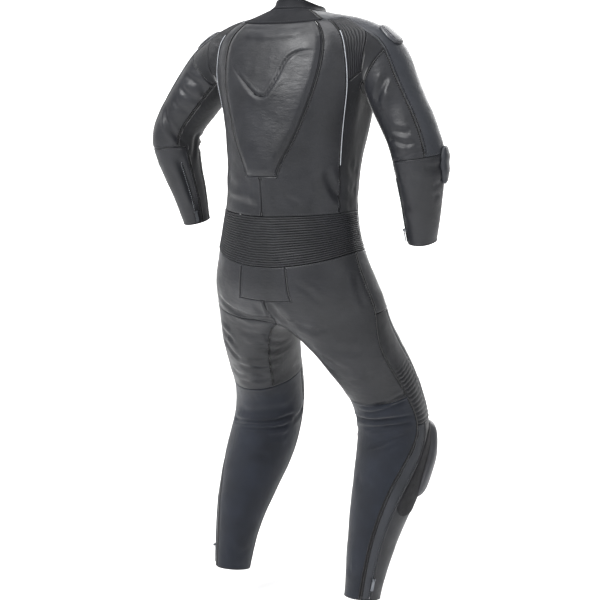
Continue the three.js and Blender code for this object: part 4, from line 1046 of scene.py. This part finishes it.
def row_tree(name, shape):
    """One shape repeated along each line, turned along it, its height along the surface's outward way."""
    tree, entry = tree_of(name, [("Spacing", "Float"), ("Long", "Float"), ("Wide", "Float"),
                                 ("High", "Float"),
                                 ("Stagger", "Float"), ("Material", "Material")])
    curve = add(tree, "GeometryNodeMeshToCurve", inputs={"Mesh": entry.outputs["Lines"]}).outputs[0]
    spots = add(tree, "GeometryNodeCurveToPoints", {"mode": "LENGTH"}, {
        "Curve": curve, "Length": entry.outputs["Spacing"]})
    out = add(tree, "GeometryNodeInputNamedAttribute",
              {"data_type": "FLOAT_VECTOR"}, {"Name": "outward"}).outputs[0]
    turned = add(tree, "FunctionNodeAlignRotationToVector",
                 {"axis": "X"}, {"Vector": spots.outputs["Tangent"]})
    turned = add(tree, "FunctionNodeAlignRotationToVector", {"axis": "Z", "pivot_axis": "X"}, {
        "Rotation": turned.outputs[0], "Vector": out}).outputs[0]
    size = add(tree, "ShaderNodeCombineXYZ", inputs={
        "X": entry.outputs["Long"], "Y": entry.outputs["Wide"], "Z": entry.outputs["High"]}).outputs[0]
    body = add(tree, *shape).outputs[0]
    placed = add(tree, "GeometryNodeInstanceOnPoints", inputs={
        "Points": spots.outputs["Points"], "Instance": body, "Rotation": turned, "Scale": size}).outputs[0]
    index = add(tree, "GeometryNodeInputIndex").outputs[0]
    odd = add(tree, "ShaderNodeMath", {"operation": "PINGPONG"}, {0: index, 1: 1.0}).outputs[0]
    swing = add(tree, "ShaderNodeMath", {"operation": "MULTIPLY_ADD"}, {0: odd, 1: 2.0, 2: -1.0}).outputs[0]
    shift = add(tree, "ShaderNodeMath", {"operation": "MULTIPLY"},
                {0: swing, 1: entry.outputs["Stagger"]}).outputs[0]
    offset = add(tree, "ShaderNodeCombineXYZ", inputs={"Y": shift}).outputs[0]
    moved = add(tree, "GeometryNodeTranslateInstances",
                inputs={"Instances": placed, "Translation": offset}).outputs[0]
    return finish_tree(tree, entry, moved)


ROUND_LINE = round_line_tree()
STITCH_ROW = row_tree(
    "stitch_row", ("GeometryNodeMeshUVSphere", (), {"Segments": 6, "Rings": 3, "Radius": 0.5}))
TOOTH_ROW = row_tree("tooth_row", ("GeometryNodeMeshCube", (), {"Size": (1, 1, 1)}))


def follow(name, lines, tree, values, material):
    """Runs a tree along lines, each with points, outward ways and closed or not; keeps a plain mesh."""
    points, ways, edges = [], [], []
    for line, out, closed in lines:
        first = len(points)
        points += line.tolist()
        ways += out.tolist()
        edges += [(first + k, first + k + 1) for k in range(len(line) - 1)]
        if closed:
            edges.append((len(points) - 1, first))
    mesh = bpy.data.meshes.new(name)
    mesh.from_pydata(points, edges, [])
    mesh.attributes.new("outward", "FLOAT_VECTOR", "POINT").data.foreach_set("vector", np.array(ways).ravel())
    piece = bpy.data.objects.new(name, mesh)
    bpy.context.collection.objects.link(piece)
    modifier = piece.modifiers.new("row", "NODES")
    modifier.node_group = tree
    wanted = {**values, "Material": MATERIALS[material]}
    for socket in tree.interface.items_tree:
        if socket.in_out == "INPUT" and socket.name in wanted:
            modifier[socket.identifier] = wanted[socket.name]
    baked = bpy.data.meshes.new_from_object(piece.evaluated_get(bpy.context.evaluated_depsgraph_get()))
    piece.modifiers.clear()
    piece.data = baked
    return ridden(piece)


def rim_lines(rim):
    """A panel's rim, its corner pairs chained into closed lines."""
    after = dict(rim.tolist())
    lines = []
    while after:
        start = next(iter(after))
        chain = [start]
        closed = False
        while chain[-1] in after and not closed:
            step = after.pop(chain[-1])
            closed = step == start
            if not closed:
                chain.append(step)
        lines.append((chain, closed))
    return lines


# Everything, made

NODES = list(dict.fromkeys(name for name, part, side in suit.owners))
RIBBED = [node for node in NODES if "accordion" in node or node.startswith("thigh_side")]
for node in NODES:
    if node == "seat_right":
        panel(node, "thigh_back_right")
    elif node not in RIBBED and node != "thigh_back_right":
        panel(node)

LUMBAR_RIBS, SHOULDER_RIBS, KNEE_RIBS, THIGH_SIDE_RIBS = 20, 8, 9, 30
accordion("lumbar_accordion", "torso", 0, (9, -9), (10, 11), (181, 161), LUMBAR_RIBS, 3.4)
for label, side in SIDES.items():
    accordion("shoulder_accordion_" + label, "torso", 0,
              (-5 * side, -4 * side), (2, 6), (73, 81), SHOULDER_RIBS, 2.4,
              upright=True)
    accordion("knee_accordion_" + label, "leg", side, (8, 13), (3, 4), (61, 91), KNEE_RIBS, 3.0)
    accordion("thigh_side_" + label, "leg", side, (6, 8), (0, 4), (25, 241), THIGH_SIDE_RIBS, 2.4,
              fading=lambda r: smooth((r - 1.9) / 0.4))

for label, side in SIDES.items():
    pad_shell("shoulder_plate_%s_shell" % label, "sleeve", side,
              OUTLINES["shoulder_plate"], plate_height, 1.0,
              "plastic", ["shoulder_plate_" + label], "grey_plastic")
    pad_shell("elbow_slider_%s_shell" % label, "sleeve", side, OUTLINES["elbow_slider"], elbow_height, 1.0,
              "grey_leather", ["elbow_slider_" + label])
    pad_shell("hook_patch_%s_pile" % label, "leg", side, OUTLINES["hook_patch"], patch_height, 0.5,
              "hook", ["hook_patch_" + label])
    pad_shell("knee_slider_%s_shell" % label, "leg", side, OUTLINES["knee_slider"], knee_height, 1.9,
              "plastic", ["knee_slider_" + label], "grey_plastic")

PIPING = [(4, 2.9), (4, 4), (4, 5), (4, 6), (4, 7), (4, 8), (4, 8.7)]
follow("light_piping",
       [(*line_on("torso", 0, [(c * turn, r) for c, r in PIPING], 90, 0.7), False) for turn in (1, -1)],
       ROUND_LINE, {"Radius": 0.9 * MM}, "piping")

bindings = []
for part, side, row, columns in [("torso", 0, 0.02, (-12, 12)),
                                 ("leg", RIGHT, 8.97, (0, 16)), ("leg", LEFT, 8.97, (0, 16)),
                                 ("sleeve", RIGHT, 7.97, (0, 16)), ("sleeve", LEFT, 7.97, (0, 16))]:
    around = np.linspace(*columns, 121)[:-1]
    point, normal = suit.look(part, side, around, np.full(len(around), row))
    bindings.append((point - normal * 0.7 * MM, normal, True))
follow("edge_bindings", bindings, ROUND_LINE, {"Radius": 1.5 * MM}, "binding")

stitched = []
for points, normals, rim in stitch_lines:
    for chain, closed in rim_lines(rim):
        stitched.append((points[chain], normals[chain], closed))
follow("seam_stitches", stitched, STITCH_ROW,
       {"Spacing": 5.2 * MM, "Long": 3.6 * MM, "Wide": 0.9 * MM, "High": 0.8 * MM, "Stagger": 0.0},
       "thread")

# Rows: part, side, path of the closed zip
ZIP_LINES = [("torso", 0, [(12, 1.08), (12, 5), (12, 9), (12, 12.1)])]
for side in SIDES.values():
    ZIP_LINES.append(("leg", side, [(7, 5.3), (7, 6.6), (7, 7.8), (7, 8.9)]))
    ZIP_LINES.append(("sleeve", side, [(6, 5.7), (6, 6.5), (6, 7.3), (6, 7.9)]))
teeth, cords = [], []
for part, side, path in ZIP_LINES:
    lift = 2.2 if part == "torso" else 0.9
    point, normal = line_on(part, side, path, 120, lift)
    teeth.append((point, normal, False))
    cords.append((point - normal * 0.9 * MM, normal, False))
follow("zip_teeth", teeth, TOOTH_ROW,
       {"Spacing": 2.4 * MM, "Long": 1.5 * MM, "Wide": 3.2 * MM, "High": 1.7 * MM, "Stagger": 0.25},
       "metal")
follow("zip_cords", cords, ROUND_LINE, {"Radius": 2.2 * MM}, "binding")

bpy.context.view_layer.update()

# The studio: pale floor, soft lamps, and the camera at the photograph's angle

AZIMUTH, ELEVATION, DISTANCE = radians(214), radians(8), 3.1
FOCAL_PIXELS, PICTURE, SENSOR = 1347.8, 600, 36
METRES_A_PIXEL = 0.0023
NECK_PIXEL = (301, 28)
AIM = np.array([0, 0, -0.62])

back = np.array([np.sin(AZIMUTH) * np.cos(ELEVATION), -np.cos(AZIMUTH) * np.cos(ELEVATION),
                 np.sin(ELEVATION)])
right = np.array([np.cos(AZIMUTH), np.sin(AZIMUTH), 0])
up = np.cross(back, right)
stand = AIM + back * DISTANCE
for step in range(20):
    depth = stand @ back
    x = PICTURE / 2 - FOCAL_PIXELS * (stand @ right) / depth
    y = PICTURE / 2 + FOCAL_PIXELS * (stand @ up) / depth
    stand = stand + right * (x - NECK_PIXEL[0]) * METRES_A_PIXEL - up * (y - NECK_PIXEL[1]) * METRES_A_PIXEL
camera = bpy.data.objects.new("camera", bpy.data.cameras.new("camera"))
camera.data.lens = SENSOR * FOCAL_PIXELS / PICTURE
camera.data.sensor_width = SENSOR
camera.data.clip_end = 60
camera.matrix_world = Matrix([[right[k], up[k], back[k], stand[k]] for k in range(3)] + [[0, 0, 0, 1]])
bpy.context.collection.objects.link(camera)
bpy.context.scene.camera = camera

FLOOR_BELOW_HEM = 0.07
floor_height = CAD_BOX[0][2] - FLOOR_BELOW_HEM
floor_mesh = bpy.data.meshes.new("studio_floor")
FLOOR_HALF = 20
floor_mesh.from_pydata([(-FLOOR_HALF, -FLOOR_HALF, floor_height), (FLOOR_HALF, -FLOOR_HALF, floor_height),
                        (FLOOR_HALF, FLOOR_HALF, floor_height), (-FLOOR_HALF, FLOOR_HALF, floor_height)],
                       [], [(0, 1, 2, 3)])
floor = bpy.data.objects.new("studio_floor", floor_mesh)
bpy.context.collection.objects.link(floor)
paper, paper_tree, paper_shader, paper_place = begin("studio_paper")
paper_tint = blend_colours(paper_tree, cloudy(paper_tree, paper_place, 400), "#f7f7f7", "#fbfbfb")
paper_tree.links.new(paper_tint, paper_shader.inputs["Base Color"])
paper_shader.inputs["Roughness"].default_value = 0.9
floor_mesh.materials.append(paper)

CARD_DISTANCE, CARD_HALF = 7, 12
card_mesh = bpy.data.meshes.new("studio_card")
card_mesh.from_pydata([tuple(-back * CARD_DISTANCE + right * x + np.array([0, 0, z])) for x, z in
                        ((-CARD_HALF, floor_height - 2), (CARD_HALF, floor_height - 2),
                         (CARD_HALF, 9), (-CARD_HALF, 9))],
                      [], [(0, 1, 2, 3)])
card = bpy.data.objects.new("studio_card", card_mesh)
bpy.context.collection.objects.link(card)
white, white_tree, white_shader, white_place = begin("lit_card")
white_tint = blend_colours(white_tree, cloudy(white_tree, white_place, 900), "#fafafa", "#ffffff")
white_tree.links.new(white_tint, white_shader.inputs["Emission Color"])
white_shader.inputs["Emission Strength"].default_value = 1.0
card_mesh.materials.append(white)

# Rows: name, place, aim, size, watts
LAMPS = [
    ("key", (0.9, 3.5, 2.3), (0, 0, -0.3), 2.0, 260),
    ("fill", (-3.4, 2.2, 0.8), (0, 0, -0.6), 2.6, 45),
    ("top", (0.2, 0.6, 2.8), (0, 0, -0.4), 2.4, 110),
    ("front", (0.4, -3.4, 1.2), (0, 0, -0.6), 2.6, 110),
]
for name, place, aim, size, watts in LAMPS:
    lamp = bpy.data.lights.new(name, "AREA")
    lamp.energy, lamp.size = watts, size
    holder = bpy.data.objects.new(name, lamp)
    towards_aim = (Vector(place) - Vector(aim)).to_track_quat("Z", "Y").to_matrix().to_4x4()
    holder.matrix_world = Matrix.Translation(place) @ towards_aim
    bpy.context.collection.objects.link(holder)
world = bpy.data.worlds.new("studio_air")
world.use_nodes = True
world.node_tree.nodes["Background"].inputs["Color"].default_value = (1, 1, 1, 1)
world.node_tree.nodes["Background"].inputs["Strength"].default_value = 0.5
bpy.context.scene.world = world
bpy.context.scene.view_settings.view_transform = "Standard"

for name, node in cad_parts.items():
    if "zip" in name:
        node.data.materials.clear()
        node.data.materials.append(MATERIALS["textile" if name.endswith("_tape") else "metal"])
